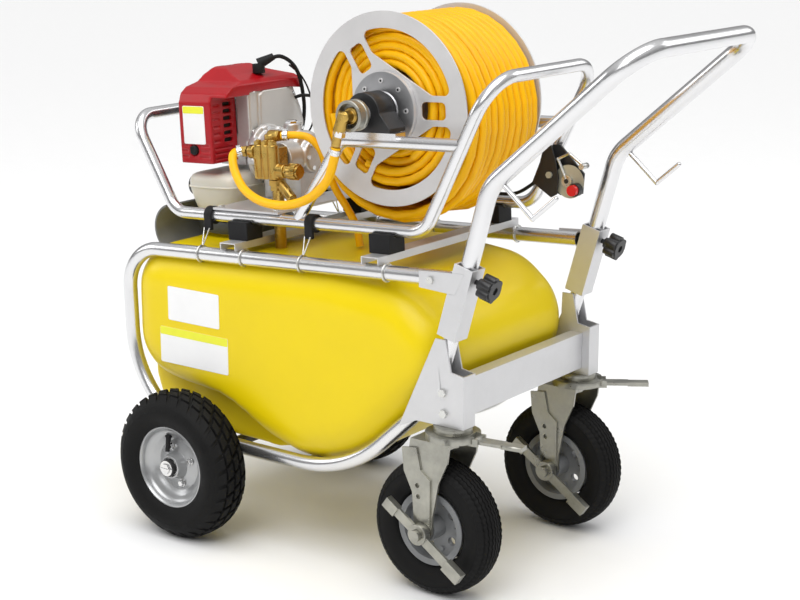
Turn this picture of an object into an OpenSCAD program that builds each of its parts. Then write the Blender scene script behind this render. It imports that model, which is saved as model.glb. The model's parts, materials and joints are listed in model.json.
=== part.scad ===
// Wheeled motor sprayer: engine-driven pump and hose reel on a four-wheel tank cart.
// X runs from the front wheels to the handle, Y across the cart, Z up from the ground.

/* [Wheels] */
// outside diameter of a front tyre
front_wheel_diameter = 260; // [240:2:270]
// width of a front tyre
front_tyre_width = 84; // [70:1:84]
// distance between the middles of the two front tyres
front_track = 500; // [500:2:560]
// outside diameter of a caster tyre
caster_wheel_diameter = 224; // [200:2:228]
// width of a caster tyre
caster_tyre_width = 64; // [50:1:64]
// angle that the left caster is turned to at rest
left_caster_turn = 0; // [-20:1:20]

/* [Cart frame] */
// outside diameter of the side hoop tube
hoop_tube = 25; // [20:0.5:25]
// rise of the rails toward the handle, in degrees
frame_pitch = 3; // [1:0.5:4]
// outside width of the tank
tank_width = 400; // [340:5:400]
// wall thickness of the tank
tank_wall = 4; // [3:0.5:8]

/* [Handle] */
// outside diameter of the handle tube
handle_tube = 28; // [27:0.5:28]
// height of the grip above the ground
grip_height = 880; // [840:5:940]
// distance of the grip behind the middle of the cart
grip_reach = 500; // [440:5:560]
// diameter of the clamp knobs
knob_diameter = 42; // [34:1:48]

/* [Hose reel] */
// diameter of the reel flanges
reel_diameter = 312; // [260:2:320]
// distance over the two flanges
reel_width = 216; // [160:2:216]
// outside diameter of the spray hose
hose_diameter = 15; // [10:1:16]
// radius of the crank from the reel shaft
crank_radius = 95; // [70:5:110]

/* [Hidden] */
$fn = 64;
gap = 0.3;
run_fit = 0.05;
carrier_tube = 21;

// front axle
axle_x = -333;
axle_z = front_wheel_diameter / 2;
axle_rod = 20;
front_rim = 66;

// upper bar of the front hoop of the carrier, and the shift that puts the middle of the whole
// cart over the origin
front_bar = [-508, 164];
middle_shift = (carrier_tube / 2 - front_bar.x * cos(frame_pitch) + front_bar.y * sin(frame_pitch)
    - grip_reach - handle_tube / 2) / 2;

// side hoops
hoop_y = 188;
hoop_wall = 1.8;
rail_height = 505;
hoop_low = 159;
knee = [160, 324];
lean = 15.6;
post_length = 215;

gusset_bolts = [[183, 337], [185, 304]];

// leaning post direction in the X-Z plane, and the normal that points to the operator
post = [sin(lean), 0, cos(lean)];
post_normal = [cos(lean), 0, -sin(lean)];
sleeve_start = 105;
sleeve_end = 225;
sleeve_inner = handle_tube / 2 + gap;
sleeve_plate = 3;

// handle
handle_wall = handle_tube / 2 - hoop_tube / 2 - run_fit;
handle_start = 113;
handle_bend = 355;
hook_wire = 8;

// clamp knobs
knob_at = 205;
knob_stand = 32;
knob_thick = 22;

// casters, measured from the swivel axis
caster_x = 191;
caster_y = 187;
caster_trail = 27;
caster_axle = 12;
caster_rim = 60;
fork_inner = 38;
fork_plate = 4;
head_low = 262;
head_high = 272.6;
lock_angle = [8, 34];

// carrier frame, in its own pitched axes
carrier_height = 567;
carrier_wall = 1.6;
carrier_y = 155;
rail_drop = (carrier_height - rail_height) * cos(frame_pitch);
channel_low = -rail_drop + hoop_tube / 2 + gap;
channel_tall = 13;
channel_wide = 34;
block_high = -carrier_tube / 2 - gap;
front_channel = -262;
rear_channel = 37;
strap_at = [-334, -112];
bar_height = 139;
// rear hoop leg: where it starts, where it ends and how high
rear_leg = [113, 246, 240];
seat_high = bar_height + carrier_tube / 2 + 5;
block_low = seat_high + gap;

// reel, in the carrier's axes
reel_u = 11;
reel_w = 184;
reel_shaft = 30;
flange_plate = 3;
winding_radius = reel_diameter / 2 - 7;
drum_radius = 56;
hub_disc = 62;

// tank outline: middle X, middle Z and radius of each rounded corner, then the belly that
// follows the sweep of the side hoops
belly = [-120, 408, 250];
belly_corner = 105;
tank_corners = concat(
    [[-426, 408, 80], [-416, 332, 90], [-60, 395, 108], [58, 385, 115]],
    [for (a = [0:14:42]) [
        belly.x + (belly[2] - belly_corner) * sin(a),
        belly.y - (belly[2] - belly_corner) * cos(a),
        belly_corner,
    ]]);
tank_edge = 66;
neck_x = -395;
neck_radius = 72;
neck_top = 504;
lid_radius = 85;

// engine and pump, in the carrier's axes
crank_y = 15;
crank_w = 130;
plate_w = carrier_tube / 2 + gap;
plate_thick = 4;

// hose routes, in the carrier's axes
delivery_route = [
    [-9, -214, 136],
    [-16, -213, 114],
    [-38, -206, 80],
    [-82, -196, 50],
    [-140, -186, 33],
    [-200, -176, 33],
    [-250, -163, 48],
    [-282, -149, 74],
    [-298, -136, 96],
    [-302, -124, 104],
    [-292, -114, 106],
];
bypass_route = [
    [-229, -88, 131],
    [-212, -80, 132],
    [-185, -70, 128],
    [-166, -63, 108],
    [-158, -58, 76],
    [-144, -54, 40],
    [-124, -50, 8],
    [-108, -47, -24],
    [-104, -46, -56],
];
cable_route = [
    [-334.5, 78, 176],
    [-318, 84, 180],
    [-296, 100, 172],
    [-266, 120, 134],
    [-238, 131, 80],
    [-200, 136, 30],
    [-150, 137, 17],
    [-60, 137, 16],
    [40, 137, 16],
    [90, 136, 18],
    [125, 132, 34],
    [150, 129, 52],
    [172, 128, 60],
];

// ---- helpers ----

function unit(v) = v / norm(v);
function turn_of(a, b) = acos(max(-1, min(1, unit(a) * unit(b))));
function rail_z(x) = rail_height + x * tan(frame_pitch);
function on_post(s, y) = [knee.x, y, knee.y] + post * s;

// puts local X, Y and Z on u, v and u x v at a point
module axes_at(at, u, v) {
    w = cross(u, v);
    multmatrix([
        [u.x, v.x, w.x, at.x],
        [u.y, v.y, w.y, at.y],
        [u.z, v.z, w.z, at.z],
        [0, 0, 0, 1],
    ]) children();
}

// puts local Z along a direction
module toward(at, dir) {
    d = unit(dir);
    side = abs(d.y) > 0.9 ? [1, 0, 0] : [0, 1, 0];
    u = unit(cross(side, d));
    axes_at(at, u, cross(d, u)) children();
}

module rod(from, to, d) {
    toward(from, to - from) cylinder(h = norm(to - from), d = d);
}

module along_y(x, z, y0, y1, r) {
    translate([x, y0, z]) rotate([-90, 0, 0]) cylinder(h = y1 - y0, r = r);
}

module along_x(y, z, x0, x1, r) {
    translate([x0, y, z]) rotate([0, 90, 0]) cylinder(h = x1 - x0, r = r);
}

module both_sides() {
    children();
    mirror([0, 1, 0]) children();
}

// a flat outline given in X-Z, with its thickness between two Y values
module in_side_view(y0, y1) {
    translate([0, y1, 0]) rotate([90, 0, 0]) linear_extrude(y1 - y0) children();
}

// a flat outline given in Y-Z, with its thickness between two X values
module in_end_view(x0, x1) {
    translate([x0, 0, 0]) rotate([90, 0, 90]) linear_extrude(x1 - x0) children();
}

module tube_section(d, wall) {
    difference() {
        circle(d = d);
        circle(d = d - 2 * wall);
    }
}

// a tube through the points, bent to a radius at each inner point; where a straight run meets
// a bend, a short ring inside the wall joins the two across a hairline groove
module bent_tube(points, bends, d, wall) {
    last = len(points) - 1;
    groove = 0.02;
    skin = 0.25;
    back = [for (i = [0:last])
        i == 0 || i == last ? 0
        : bends[i] * tan(turn_of(points[i] - points[i - 1], points[i + 1] - points[i]) / 2)];
    for (i = [1:last]) {
        run = points[i] - points[i - 1];
        from = back[i - 1] + (i > 1 ? groove : 0);
        to = norm(run) - back[i] - (i < last ? groove : 0);
        toward(points[i - 1] + unit(run) * from, run)
            linear_extrude(to - from) tube_section(d, wall);
        for (at = [if (i > 1) from, if (i < last) to]) toward(points[i - 1] + unit(run) * (at - 1), run)
            linear_extrude(2) tube_section(d - 2 * skin, wall - 2 * skin);
    }
    for (i = [1:last - 1]) {
        come = unit(points[i] - points[i - 1]);
        go = unit(points[i + 1] - points[i]);
        inward = unit(go - come * (go * come));
        start = points[i] - come * back[i];
        axes_at(start + inward * bends[i], -inward, come)
            rotate_extrude(angle = turn_of(come, go)) translate([bends[i], 0])
            tube_section(d, wall);
    }
}

// points on a smooth curve through the route
function smooth_at(p, i, t) =
    let (
        a = p[max(0, i - 1)],
        b = p[i],
        c = p[i + 1],
        d = p[min(len(p) - 1, i + 2)]
    )
    0.5 * (2 * b + (c - a) * t + (2 * a - 5 * b + 4 * c - d) * t * t
        + (3 * b - a - 3 * c + d) * t * t * t);
function smooth(p, steps) = concat(
    [for (i = [0:len(p) - 2], k = [0:steps - 1]) smooth_at(p, i, k / steps)],
    [p[len(p) - 1]]);

// a round cord swept along the points, its rings squared to the route
module swept_cord(points, d, sides, reference) {
    last = len(points) - 1;
    rings = [for (i = [0:last])
        let (
            t = unit(points[min(last, i + 1)] - points[max(0, i - 1)]),
            u = unit(cross(reference, t)),
            v = cross(t, u)
        )
        for (k = [0:sides - 1])
            points[i] + (u * cos(360 * k / sides) + v * sin(360 * k / sides)) * d / 2];
    walls = [for (i = [0:last - 1], k = [0:sides - 1])
        let (n = (k + 1) % sides)
        [i * sides + k, i * sides + n, (i + 1) * sides + n, (i + 1) * sides + k]];
    first_end = [for (k = [0:sides - 1]) sides - 1 - k];
    last_end = [for (k = [0:sides - 1]) last * sides + k];
    polyhedron(rings, concat(walls, [first_end, last_end]), convexity = 6);
}

// puts the middle of the cart over the origin
module on_cart() {
    translate([middle_shift, 0, 0]) children();
}

// the carrier's own axes, pitched with the rails
module on_carrier() {
    translate([0, 0, carrier_height]) rotate([0, -frame_pitch, 0]) children();
}

module round_square(x0, x1, y0, y1, r) {
    hull() for (x = [x0 + r, x1 - r], y = [y0 + r, y1 - r])
        translate([x, y]) circle(r, $fn = 32);
}

// ---- side hoops, rear bracket and handle sleeves ----

module hoop() {
    top = on_post(post_length, -hoop_y);
    bent_tube(
        [
            [186, -hoop_y, rail_z(186)],
            [-507, -hoop_y, rail_z(-507)],
            [-497, -hoop_y, hoop_low],
            [-19.4, -hoop_y, hoop_low],
            [knee.x, -hoop_y, knee.y],
            top,
        ],
        [0, 75, 180, 260, 120, 0], hoop_tube, hoop_wall);
}

module hoop_left() {
    color("silver") on_cart() hoop();
}

module hoop_right() {
    color("silver") on_cart() mirror([0, 1, 0]) hoop();
}

module cross_plate() {
    web = 3;
    reach = hoop_y - 16.2;
    color("lightgray") on_cart() difference() {
        translate([183, -reach, 295]) cube([25, 2 * reach, 62]);
        translate([182, -reach - 1, 295 + web]) cube([26 - web, 2 * reach + 2, 62 - 2 * web]);
    }
}

module gusset() {
    inner = hoop_y - 16;
    outer = hoop_y + 16;
    side = [[98, 268], [132, 283], [222, 283], [222, 368], [198, 372], [187, 422], [168, 422]];
    // the inner plate stays clear of the tank
    inside = [[98, 268], [132, 283], [222, 283], [222, 368], [198, 372], [187, 422], [166, 422],
        [165, 385], [157, 345], [138, 315]];
    color("lightgray") on_cart() {
        difference() {
            union() {
                in_side_view(-outer, -outer + 3) polygon(side);
                in_side_view(-inner - 3, -inner) polygon(inside);
            }
            for (p = gusset_bolts) along_y(p.x, p.y, -outer - 1, -inner + 1, 3.6 + run_fit);
        }
        translate([219, -outer, 283]) cube([3, outer - inner, 85]);
        translate([168, -outer, 283]) cube([54, outer - inner, 3]);
    }
}

module gussets() {
    both_sides() gusset();
}

// a leaning box that holds the handle tube, with a tab over the rail end
module sleeve() {
    half = sleeve_inner + sleeve_plate;
    foot = on_post(sleeve_start, -hoop_y);
    tab = [[138, rail_z(138) - 13], [205, rail_z(205) - 20], [222, rail_z(222) + 14],
        [138, rail_z(138) + 13]];
    color("gainsboro") on_cart() {
        difference() {
            axes_at(foot, post_normal, [0, 1, 0]) difference() {
                translate([-half, -half, 0]) cube([2 * half, 2 * half, sleeve_end - sleeve_start]);
                translate([-sleeve_inner, -sleeve_inner, -1])
                    cube([2 * sleeve_inner, 2 * sleeve_inner, 200]);
            }
            toward(on_post(knob_at, -hoop_y), post_normal) cylinder(h = 60, r = 4 + run_fit);
        }
        in_side_view(-hoop_y - half - 0.6, -hoop_y - half + sleeve_plate - 0.6) polygon(tab);
    }
}

module sleeves() {
    both_sides() sleeve();
}

// hexagon bolts of the gussets, the rail ends, the bearing blocks and the engine plate
module bolt(head, length) {
    cylinder(h = head * 0.35, d = head * 1.1, $fn = 6);
    translate([0, 0, -length]) cylinder(h = length + 1, d = head * 0.55);
}

module frame_bolts() {
    color("silver") on_cart() {
        both_sides() {
            for (p = gusset_bolts)
                translate([p.x, -hoop_y - 16, p.y]) rotate([90, 0, 0]) bolt(13, 35);
            translate([160, -hoop_y - sleeve_inner - sleeve_plate - 0.6, rail_z(160)])
                rotate([90, 0, 0]) bolt(12, 0);
        }
        on_carrier() both_sides() for (s = [-1, 1])
            translate([reel_u + s * 42, -carrier_y + 7, block_low + 6]) bolt(9, 0);
        on_carrier() for (u = [-312, -190], y = [-carrier_y, carrier_y])
            translate([u, y, plate_w + plate_thick]) bolt(10, plate_thick);
    }
}

module front_axle() {
    color("dimgray") on_cart() {
        along_y(axle_x, axle_z, -front_track / 2 - 36, front_track / 2 + 36, axle_rod / 2);
        both_sides() {
            translate([axle_x - 18, -hoop_y - 5, axle_z - 14])
                cube([36, 10, hoop_low - hoop_tube / 2 - gap - axle_z + 14]);
            along_y(axle_x, axle_z, -front_track / 2 - 38, -front_track / 2 - 30 - gap, 15);
            along_y(axle_x, axle_z, -front_track / 2 + 30 + gap, -front_track / 2 + 34, 15);
        }
    }
}

module channel(u) {
    half = channel_wide / 2;
    reach = hoop_y + 14;
    difference() {
        translate([u - half, -reach, channel_low]) cube([channel_wide, 2 * reach, channel_tall]);
        translate([u - half + 2, -reach - 1, channel_low - 1])
            cube([channel_wide - 4, 2 * reach + 2, channel_tall - 1]);
    }
}

module cross_channels() {
    color("silver") on_cart() {
        on_carrier() {
            channel(front_channel);
            channel(rear_channel);
        }
        // strap under the tank, between the two hoops
        translate([-130, -hoop_y + hoop_tube / 2 + gap, hoop_low - 5.5])
            cube([50, 2 * hoop_y - hoop_tube - 2 * gap, 3]);
    }
}

module rubber_blocks() {
    low = channel_low + channel_tall;
    color("#222222") on_cart() on_carrier() both_sides() for (u = [front_channel, rear_channel])
        difference() {
            translate([u - 21, -carrier_y - 20, low]) cube([42, 40, block_high - low + 6]);
            along_x(-carrier_y, 0, u - 30, u + 30, carrier_tube / 2 + gap);
        }
}

module rubber_straps() {
    color("#222222") on_cart() on_carrier() both_sides() for (u = strap_at) {
        difference() {
            union() {
                along_x(-carrier_y, 0, u - 8, u + 8, carrier_tube / 2 + 5);
                translate([u - 8, -carrier_y - 15, -24]) cube([16, 6, 26]);
            }
            along_x(-carrier_y, 0, u - 10, u + 10, carrier_tube / 2 + gap);
        }
    }
}

// wire rings round the rails, with the hook rods up to the straps
module wire_hooks() {
    wire = 3;
    ring = hoop_tube / 2 + wire / 2 + gap;
    prong = 2.4;
    color("silver") on_cart() on_carrier() both_sides() {
        for (u = concat(strap_at, [front_channel + 24, rear_channel + 24]))
            translate([u, -hoop_y, -rail_drop]) rotate([0, 90, 0])
                rotate_extrude() translate([ring, 0]) circle(d = wire);
        for (u = strap_at, lean = [-6, 6])
            rod([u + lean / 6, -hoop_y + 3, -rail_drop + ring],
                [u + lean, -carrier_y - 17, -20], prong);
    }
}

// ---- tank ----

module pill(corner, half, edge) {
    r = corner[2];
    translate([corner.x, 0, corner.y]) rotate([90, 0, 0]) rotate_extrude($fn = 48) {
        translate([0, -half]) square([r - edge, 2 * half]);
        translate([0, -half + edge]) square([r, 2 * (half - edge)]);
        for (s = [-1, 1]) translate([r - edge, s * (half - edge)]) intersection() {
            circle(edge, $fn = 24);
            translate([edge - r, -edge]) square([r, 2 * edge]);
        }
    }
}

module tank_body(inset) {
    hull() for (c = tank_corners)
        pill([c.x, c.y, c[2] - inset], tank_width / 2 - inset, tank_edge - inset);
}

// room beside the tank for a front wheel
module wheel_room(grow) {
    in_side_view(-tank_width, -tank_width / 2 + 52 + grow)
        polygon([[-560, 250 + grow], [-292, 250 + grow], [-238, 226 + grow],
            [-168 + grow, 165], [-150 + grow, 100], [-560, 100]]);
}

module tank() {
    color("gold") on_cart() difference() {
        union() {
            difference() {
                tank_body(0);
                both_sides() wheel_room(0);
            }
            translate([neck_x, 0, 470]) cylinder(h = neck_top - 470, r = neck_radius);
        }
        difference() {
            tank_body(tank_wall);
            both_sides() wheel_room(tank_wall);
        }
        translate([neck_x, 0, 440]) cylinder(h = 80, r = neck_radius - tank_wall);
    }
}

module tank_lid() {
    color("#333333") on_cart() translate([neck_x, 0, 0]) difference() {
        translate([0, 0, neck_top - 6]) cylinder(h = 20, r = lid_radius);
        translate([0, 0, neck_top - 7]) cylinder(h = 7 + gap, r = neck_radius + 2);
        translate([0, 0, neck_top + 9]) difference() {
            cylinder(h = 10, r = lid_radius - 6);
            cylinder(h = 10, r = 14);
            for (a = [0:45:135]) rotate(a)
                translate([-lid_radius, -3, 0]) cube([2 * lid_radius, 6, 10]);
        }
    }
}

// curved guard across the front of the tank top, between the legs of the carrier
module front_saddle() {
    color("#444444") on_cart() in_side_view(-138, 138) translate([-445, 508]) intersection() {
        difference() {
            circle(45, $fn = 128);
            circle(41.5, $fn = 128);
            translate([19, -100]) circle(80 + gap, $fn = 128);
        }
        polygon([[0, 0], for (a = [114:19:247]) 90 * [cos(a), sin(a)]]);
    }
}

// ---- carrier frame for the engine and the reel ----

module carrier_hoop_front() {
    color("silver") on_cart() on_carrier() bent_tube(
        [
            [-376, -carrier_y, 0], [-420, -carrier_y, 0], [front_bar.x, -carrier_y, front_bar.y],
            [front_bar.x, carrier_y, front_bar.y], [-420, carrier_y, 0], [-376, carrier_y, 0],
        ],
        [0, 40, 45, 45, 40, 0], carrier_tube, carrier_wall);
}

module carrier_hoop_rear() {
    color("silver") on_cart() on_carrier() bent_tube(
        [
            [62, -carrier_y, 0], [rear_leg.x, -carrier_y, 0],
            [rear_leg.y, -carrier_y, rear_leg.z], [rear_leg.y, carrier_y, rear_leg.z],
            [rear_leg.x, carrier_y, 0], [62, carrier_y, 0],
        ],
        [0, 45, 62, 62, 45, 0], carrier_tube, carrier_wall);
}

// base rail, bearing bar with its strut, and the flat seat of the bearing block
module carrier_side() {
    seat = [reel_u - 62, reel_u + 62];
    on_carrier() {
        toward([-375.8, -carrier_y, 0], [1, 0, 0])
            linear_extrude(437.6) tube_section(carrier_tube, carrier_wall);
        difference() {
            bent_tube([[192, -carrier_y, bar_height], [-45, -carrier_y, bar_height],
                [-142, -carrier_y, 7]], [0, 28, 0], carrier_tube, carrier_wall);
            along_x(-carrier_y, 0, -180, -100, carrier_tube / 2 - 0.5);
            toward([rear_leg.x, -carrier_y, 0], [rear_leg.y - rear_leg.x, 0, rear_leg.z])
                cylinder(h = 275, r = carrier_tube / 2 + gap);
        }
        translate([seat[0], -carrier_y - 13, bar_height + 5])
            cube([seat[1] - seat[0], 26, seat_high - bar_height - 5]);
    }
}

module carrier_side_left() {
    color("silver") on_cart() carrier_side();
}

module carrier_side_right() {
    color("silver") on_cart() mirror([0, 1, 0]) carrier_side();
}

module bearing_blocks() {
    low = block_low;
    color("#1c1c1c") on_cart() on_carrier() both_sides() difference() {
        in_side_view(-carrier_y - 14, -carrier_y + 28) translate([reel_u, 0]) {
            translate([0, reel_w]) intersection() {
                circle(33);
                translate([-40, low - reel_w]) square([80, 100]);
            }
            polygon([[-52, low], [52, low], [52, low + 6], [31, reel_w + 4], [-31, reel_w + 4],
                [-52, low + 6]]);
        }
        along_y(reel_u, reel_w, -200, -90, reel_shaft / 2 + run_fit);
    }
}

// brass swivel on the shaft end, with the elbow that the delivery hose is pushed on
module hose_swivel() {
    start = -carrier_y - 28;
    end = delivery_route[0];
    dir = delivery_route[0] - delivery_route[1];
    color("goldenrod") on_cart() on_carrier() {
        difference() {
            along_y(reel_u, reel_w, start - 21, start, 21);
            along_y(reel_u, reel_w, start - 22, start - 12, 15);
        }
        along_y(reel_u, reel_w, start - 30, start - 8, 8);
        bent_tube([[reel_u, start - 20, reel_w], [reel_u, end.y, reel_w], end + unit(dir) * gap],
            [0, 9, 0], 15, 4.2);
        toward(end + unit(dir) * 20, -dir) difference() {
            cylinder(h = 16, d = 19, $fn = 6);
            translate([0, 0, -1]) cylinder(h = 20, d = 14);
        }
    }
}

// ---- reel ----

module flange_outline() {
    r = reel_diameter / 2;
    spoke = 24;
    difference() {
        circle(r, $fn = 128);
        for (a = [60, 180, 300]) rotate(a) offset(r = 10) offset(delta = -10)
            intersection() {
                circle(r - 27, $fn = 96);
                translate([hub_disc + 4, -r]) square([r, 2 * r]);
                rotate(60) translate([-r, -spoke - r]) square([2 * r, r]);
                rotate(-60) translate([-r, spoke]) square([2 * r, r]);
            }
        for (a = [0, 120, 240]) rotate(a) round_square(hub_disc + 8, r - 40, -14, 14, 8);
    }
}

module reel_flanges() {
    half = reel_width / 2;
    color("lightgray") on_cart() on_carrier() translate([reel_u, 0, reel_w])
        for (y = [-half, half - flange_plate]) in_side_view(y, y + flange_plate)
            difference() {
                flange_outline();
                circle(drum_radius - 5 + gap);
            }
}

module reel_hub() {
    half = reel_width / 2;
    end = carrier_y + 28 - gap;
    color("darkgray") on_cart() on_carrier() {
        difference() {
            union() {
                for (s = [-1, 1]) {
                    along_y(reel_u, reel_w, s * (half + 4) - 4, s * (half + 4) + 4 - gap * (1 + s) / 2,
                        hub_disc);
                    for (a = [0:45:315]) along_y(reel_u + 47 * cos(a), reel_w + 47 * sin(a),
                        s * (half + 9) - 2, s * (half + 9) + 2, 4);
                }
                along_y(reel_u, reel_w, -half + 1, half - 1, drum_radius - 5);
                along_y(reel_u, reel_w, -end, end + 22, reel_shaft / 2);
                // crank arm on the far end of the shaft
                in_side_view(end + 8, end + 14) translate([reel_u, reel_w]) hull() {
                    circle(20);
                    translate([-crank_radius, 0]) circle(12);
                }
                along_y(reel_u - crank_radius, reel_w, end + 12, end + 100, 5);
                along_y(reel_u - crank_radius, reel_w, end + 98, end + 103, 8);
            }
            along_y(reel_u, reel_w, -half + 6, half - 6, drum_radius - 9);
            along_y(reel_u, reel_w, -end - 1, -half + 7, 8);
        }
    }
}

module hose_winding() {
    half = reel_width / 2 - flange_plate - gap;
    color("orange") on_cart() on_carrier() difference() {
        along_y(reel_u, reel_w, -half, half, winding_radius);
        along_y(reel_u, reel_w, -half - 1, half + 1, drum_radius);
    }
}

module crank_grip() {
    end = carrier_y + 28 - gap;
    color("#222222") on_cart() on_carrier() translate([reel_u - crank_radius, end + 14 + gap, reel_w])
        rotate([-90, 0, 0]) difference() {
            union() {
                cylinder(h = 83, r = 13);
                cylinder(h = 4, r = 16);
            }
            translate([0, 0, -1]) cylinder(h = 90, r = 5 + run_fit);
        }
}

// ---- engine ----

module engine_plate() {
    reach = carrier_y + 10;
    color("silver") on_cart() on_carrier() difference() {
        translate([-324, -reach, plate_w]) cube([144, 2 * reach, plate_thick]);
        translate([-232, -100, 0]) cylinder(h = 40, r = 12);
        translate([-300, -90, 0]) cube([50, 180, 40]);
        for (u = [-312, -190], y = [-carrier_y, carrier_y]) translate([u, y, 0])
            cylinder(h = 40, r = 2.75 + run_fit);
    }
}

module engine_block() {
    color("silver") on_cart() on_carrier() {
        along_x(crank_y, crank_w, -436, -372, 44);
        translate([-430, crank_y - 36, 66]) cube([58, 72, 40]);
        translate([-426, crank_y - 26, 130]) cube([50, 52, 98]);
        for (w = [160:9:214]) translate([-432, crank_y - 38, w]) cube([62, 76, 3]);
        // feet of the crankcase that reach over the fuel tank
        translate([-372, crank_y - 34, 66]) cube([20, 68, 10]);
        along_x(crank_y, crank_w, -374, -345, 12);
    }
}

// red cover across the engine: side panel on the left, hood on top
module cover_shell(x0, x1) {
    in_end_view(x0, x1) polygon([
        [-112, 78], [-112, 184], [-105, 200], [-90, 210], [-64, 217], [-42, 241], [26, 242],
        [46, 231], [84, 219], [98, 208], [98, 190], [80, 180], [-46, 180], [-46, 78],
    ]);
}

module cover_hollow(x0, x1) {
    in_end_view(x0, x1) polygon([
        [-108.5, 81.5], [-108.5, 183], [-102, 197.5], [-88.5, 206.8], [-62, 213.8],
        [-40.3, 237.5], [25, 238.5], [45, 227.6], [82, 215.8], [94.5, 206], [94.5, 194],
        [76.5, 184], [76.5, 170], [-49.5, 170], [-49.5, 81.5],
    ]);
}

module engine_cover() {
    color("firebrick") on_cart() on_carrier() difference() {
        union() {
            cover_shell(-440, -366);
            in_end_view(-366.5, -334) polygon([[-46, 196], [-62, 204], [-58, 219], [-38, 226],
                [50, 226], [80, 216], [98, 206], [98, 192], [66, 196], [50, 204], [-38, 204]]);
        }
        cover_hollow(-436.5, -369);
        in_end_view(-369.5, -330) polygon([[-40, 190], [-40, 220], [48, 220], [66, 213],
            [66, 190]]);
        translate([-436.5, -49.6, 170]) cube([67.5, 126.1, 12]);
        // cooling slots
        for (w = [92:14:176]) {
            translate([-369.5, -100, w]) cube([10, 40, 6]);
            translate([-380, -113, w]) cube([8, 10, 6]);
        }
        for (w = [92, 106, 120]) translate([-432, -113, w]) cube([42, 10, 6]);
    }
}

module engine_shroud() {
    outline = [[-44, 86], [-44, 195], [-34, 201], [54, 201], [66, 191], [98, 150], [98, 104],
        [78, 86]];
    color("gainsboro") on_cart() on_carrier() difference() {
        union() {
            in_end_view(-363, -336) polygon(outline);
            along_x(crank_y, crank_w, -337, -329, 46);
        }
        in_end_view(-366, -341) polygon([for (p = outline)
            [crank_y + (p.x - crank_y) * 0.94, 148 + (p.y - 148) * 0.93]]);
        along_x(crank_y, crank_w, -350, -320, 30);
    }
}

module engine_starter() {
    color("#222222") on_cart() on_carrier() {
        difference() {
            along_x(crank_y, crank_w, -474, -440.5, 60);
            along_x(crank_y, crank_w, -468, -439, 56);
            for (a = [0:30:330]) translate([0, crank_y, crank_w]) rotate([a, 0, 0])
                translate([-480, -3, 20]) cube([14, 6, 28]);
        }
        along_x(crank_y, crank_w, -478, -444, 16);
        // pull grip, parked on the housing
        translate([-476, crank_y - 46, crank_w + 48]) cube([12, 34, 12]);
    }
}

module fuel_tank() {
    color("#eeeadd") on_cart() on_carrier() difference() {
        intersection() {
            translate([0, 0, -9]) linear_extrude(67) round_square(-456, -336, -98, 62, 24);
            in_side_view(-110, 80) round_square(-456, -336, -9, 58, 16);
        }
        intersection() {
            translate([0, 0, -6]) linear_extrude(61) round_square(-453, -339, -95, 59, 21);
            in_side_view(-110, 80) round_square(-453, -339, -6, 55, 13);
        }
        along_x(-46, 30, -470, -440, 13 + gap);
    }
}

module fuel_cap() {
    color("#222222") on_cart() on_carrier() {
        along_x(-46, 30, -473, -456.4, 19);
        along_x(-46, 30, -457, -446, 13);
    }
}

module plug_boot() {
    color("#1c1c1c") on_cart() on_carrier() {
        translate([-352, crank_y - 10, 226.4]) cylinder(h = 16, r = 11);
        translate([-352, crank_y - 10, 242]) rotate([0, 66, 40]) cylinder(h = 30, r1 = 10, r2 = 6);
    }
}

// ---- pump ----

module pump_body() {
    color("silver") on_cart() on_carrier() {
        along_x(-12, 88, -326, -232, 44);
        along_x(-12, 88, -328.6, -318, 52);
        along_x(-12, 88, -233, -214, 30);
        for (a = [0:60:300]) along_x(-12 + 36 * cos(a), 88 + 36 * sin(a), -234, -228, 4);
        translate([-312, -44, plate_w + plate_thick]) cube([84, 64, 48]);
        along_y(-250, 88, -74, -40, 30);
        translate([-262, -20, 126]) cylinder(h = 18, r = 14);
    }
}

module pump_manifold() {
    color("goldenrod") on_cart() on_carrier() {
        translate([-272, -118, 62]) cube([46, 43.5, 56]);
        translate([-250, -97, 118]) cylinder(h = 12, d = 26, $fn = 6);
        along_x(-114, 106, -290, -270, 9);
        along_x(-114, 106, -281, -274, 12);
        along_x(-104, 74, -228, -200, 11);
        along_x(-88, 131, -250, -229.4, 9);
        translate([-232, -100, 57.4]) cylinder(h = 8, r = 15);
        for (w = [70, 110]) along_y(-266, w, -121, -117, 5);
        for (w = [90]) along_y(-232, w, -121, -117, 5);
    }
}

module pressure_knob() {
    color("#222222") on_cart() on_carrier() difference() {
        union() {
            along_x(-104, 74, -199.6, -182, 14);
            along_x(-104, 74, -182.5, -178, 11);
        }
        for (a = [0:36:324]) along_x(-104 + 15 * cos(a), 74 + 15 * sin(a), -201, -170, 2.5);
    }
}

module suction_pipe() {
    color("goldenrod") on_cart() on_carrier() difference() {
        union() {
            translate([-232, -100, -60]) cylinder(h = 117, r = 10);
            translate([-232, -100, 40]) cylinder(h = 10, r = 13, $fn = 6);
        }
        translate([-232, -100, -61]) cylinder(h = 120, r = 7.5);
    }
}

module delivery_hose() {
    color("orange") on_cart() on_carrier()
        swept_cord(smooth(delivery_route, 3), hose_diameter, 10, [0, 1, 0]);
}

module bypass_hose() {
    color("orange") on_cart() on_carrier() swept_cord(smooth(bypass_route, 3), 13, 10, [0, 1, 0]);
}

// ---- throttle and stop control on the far leg of the rear hoop ----

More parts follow.
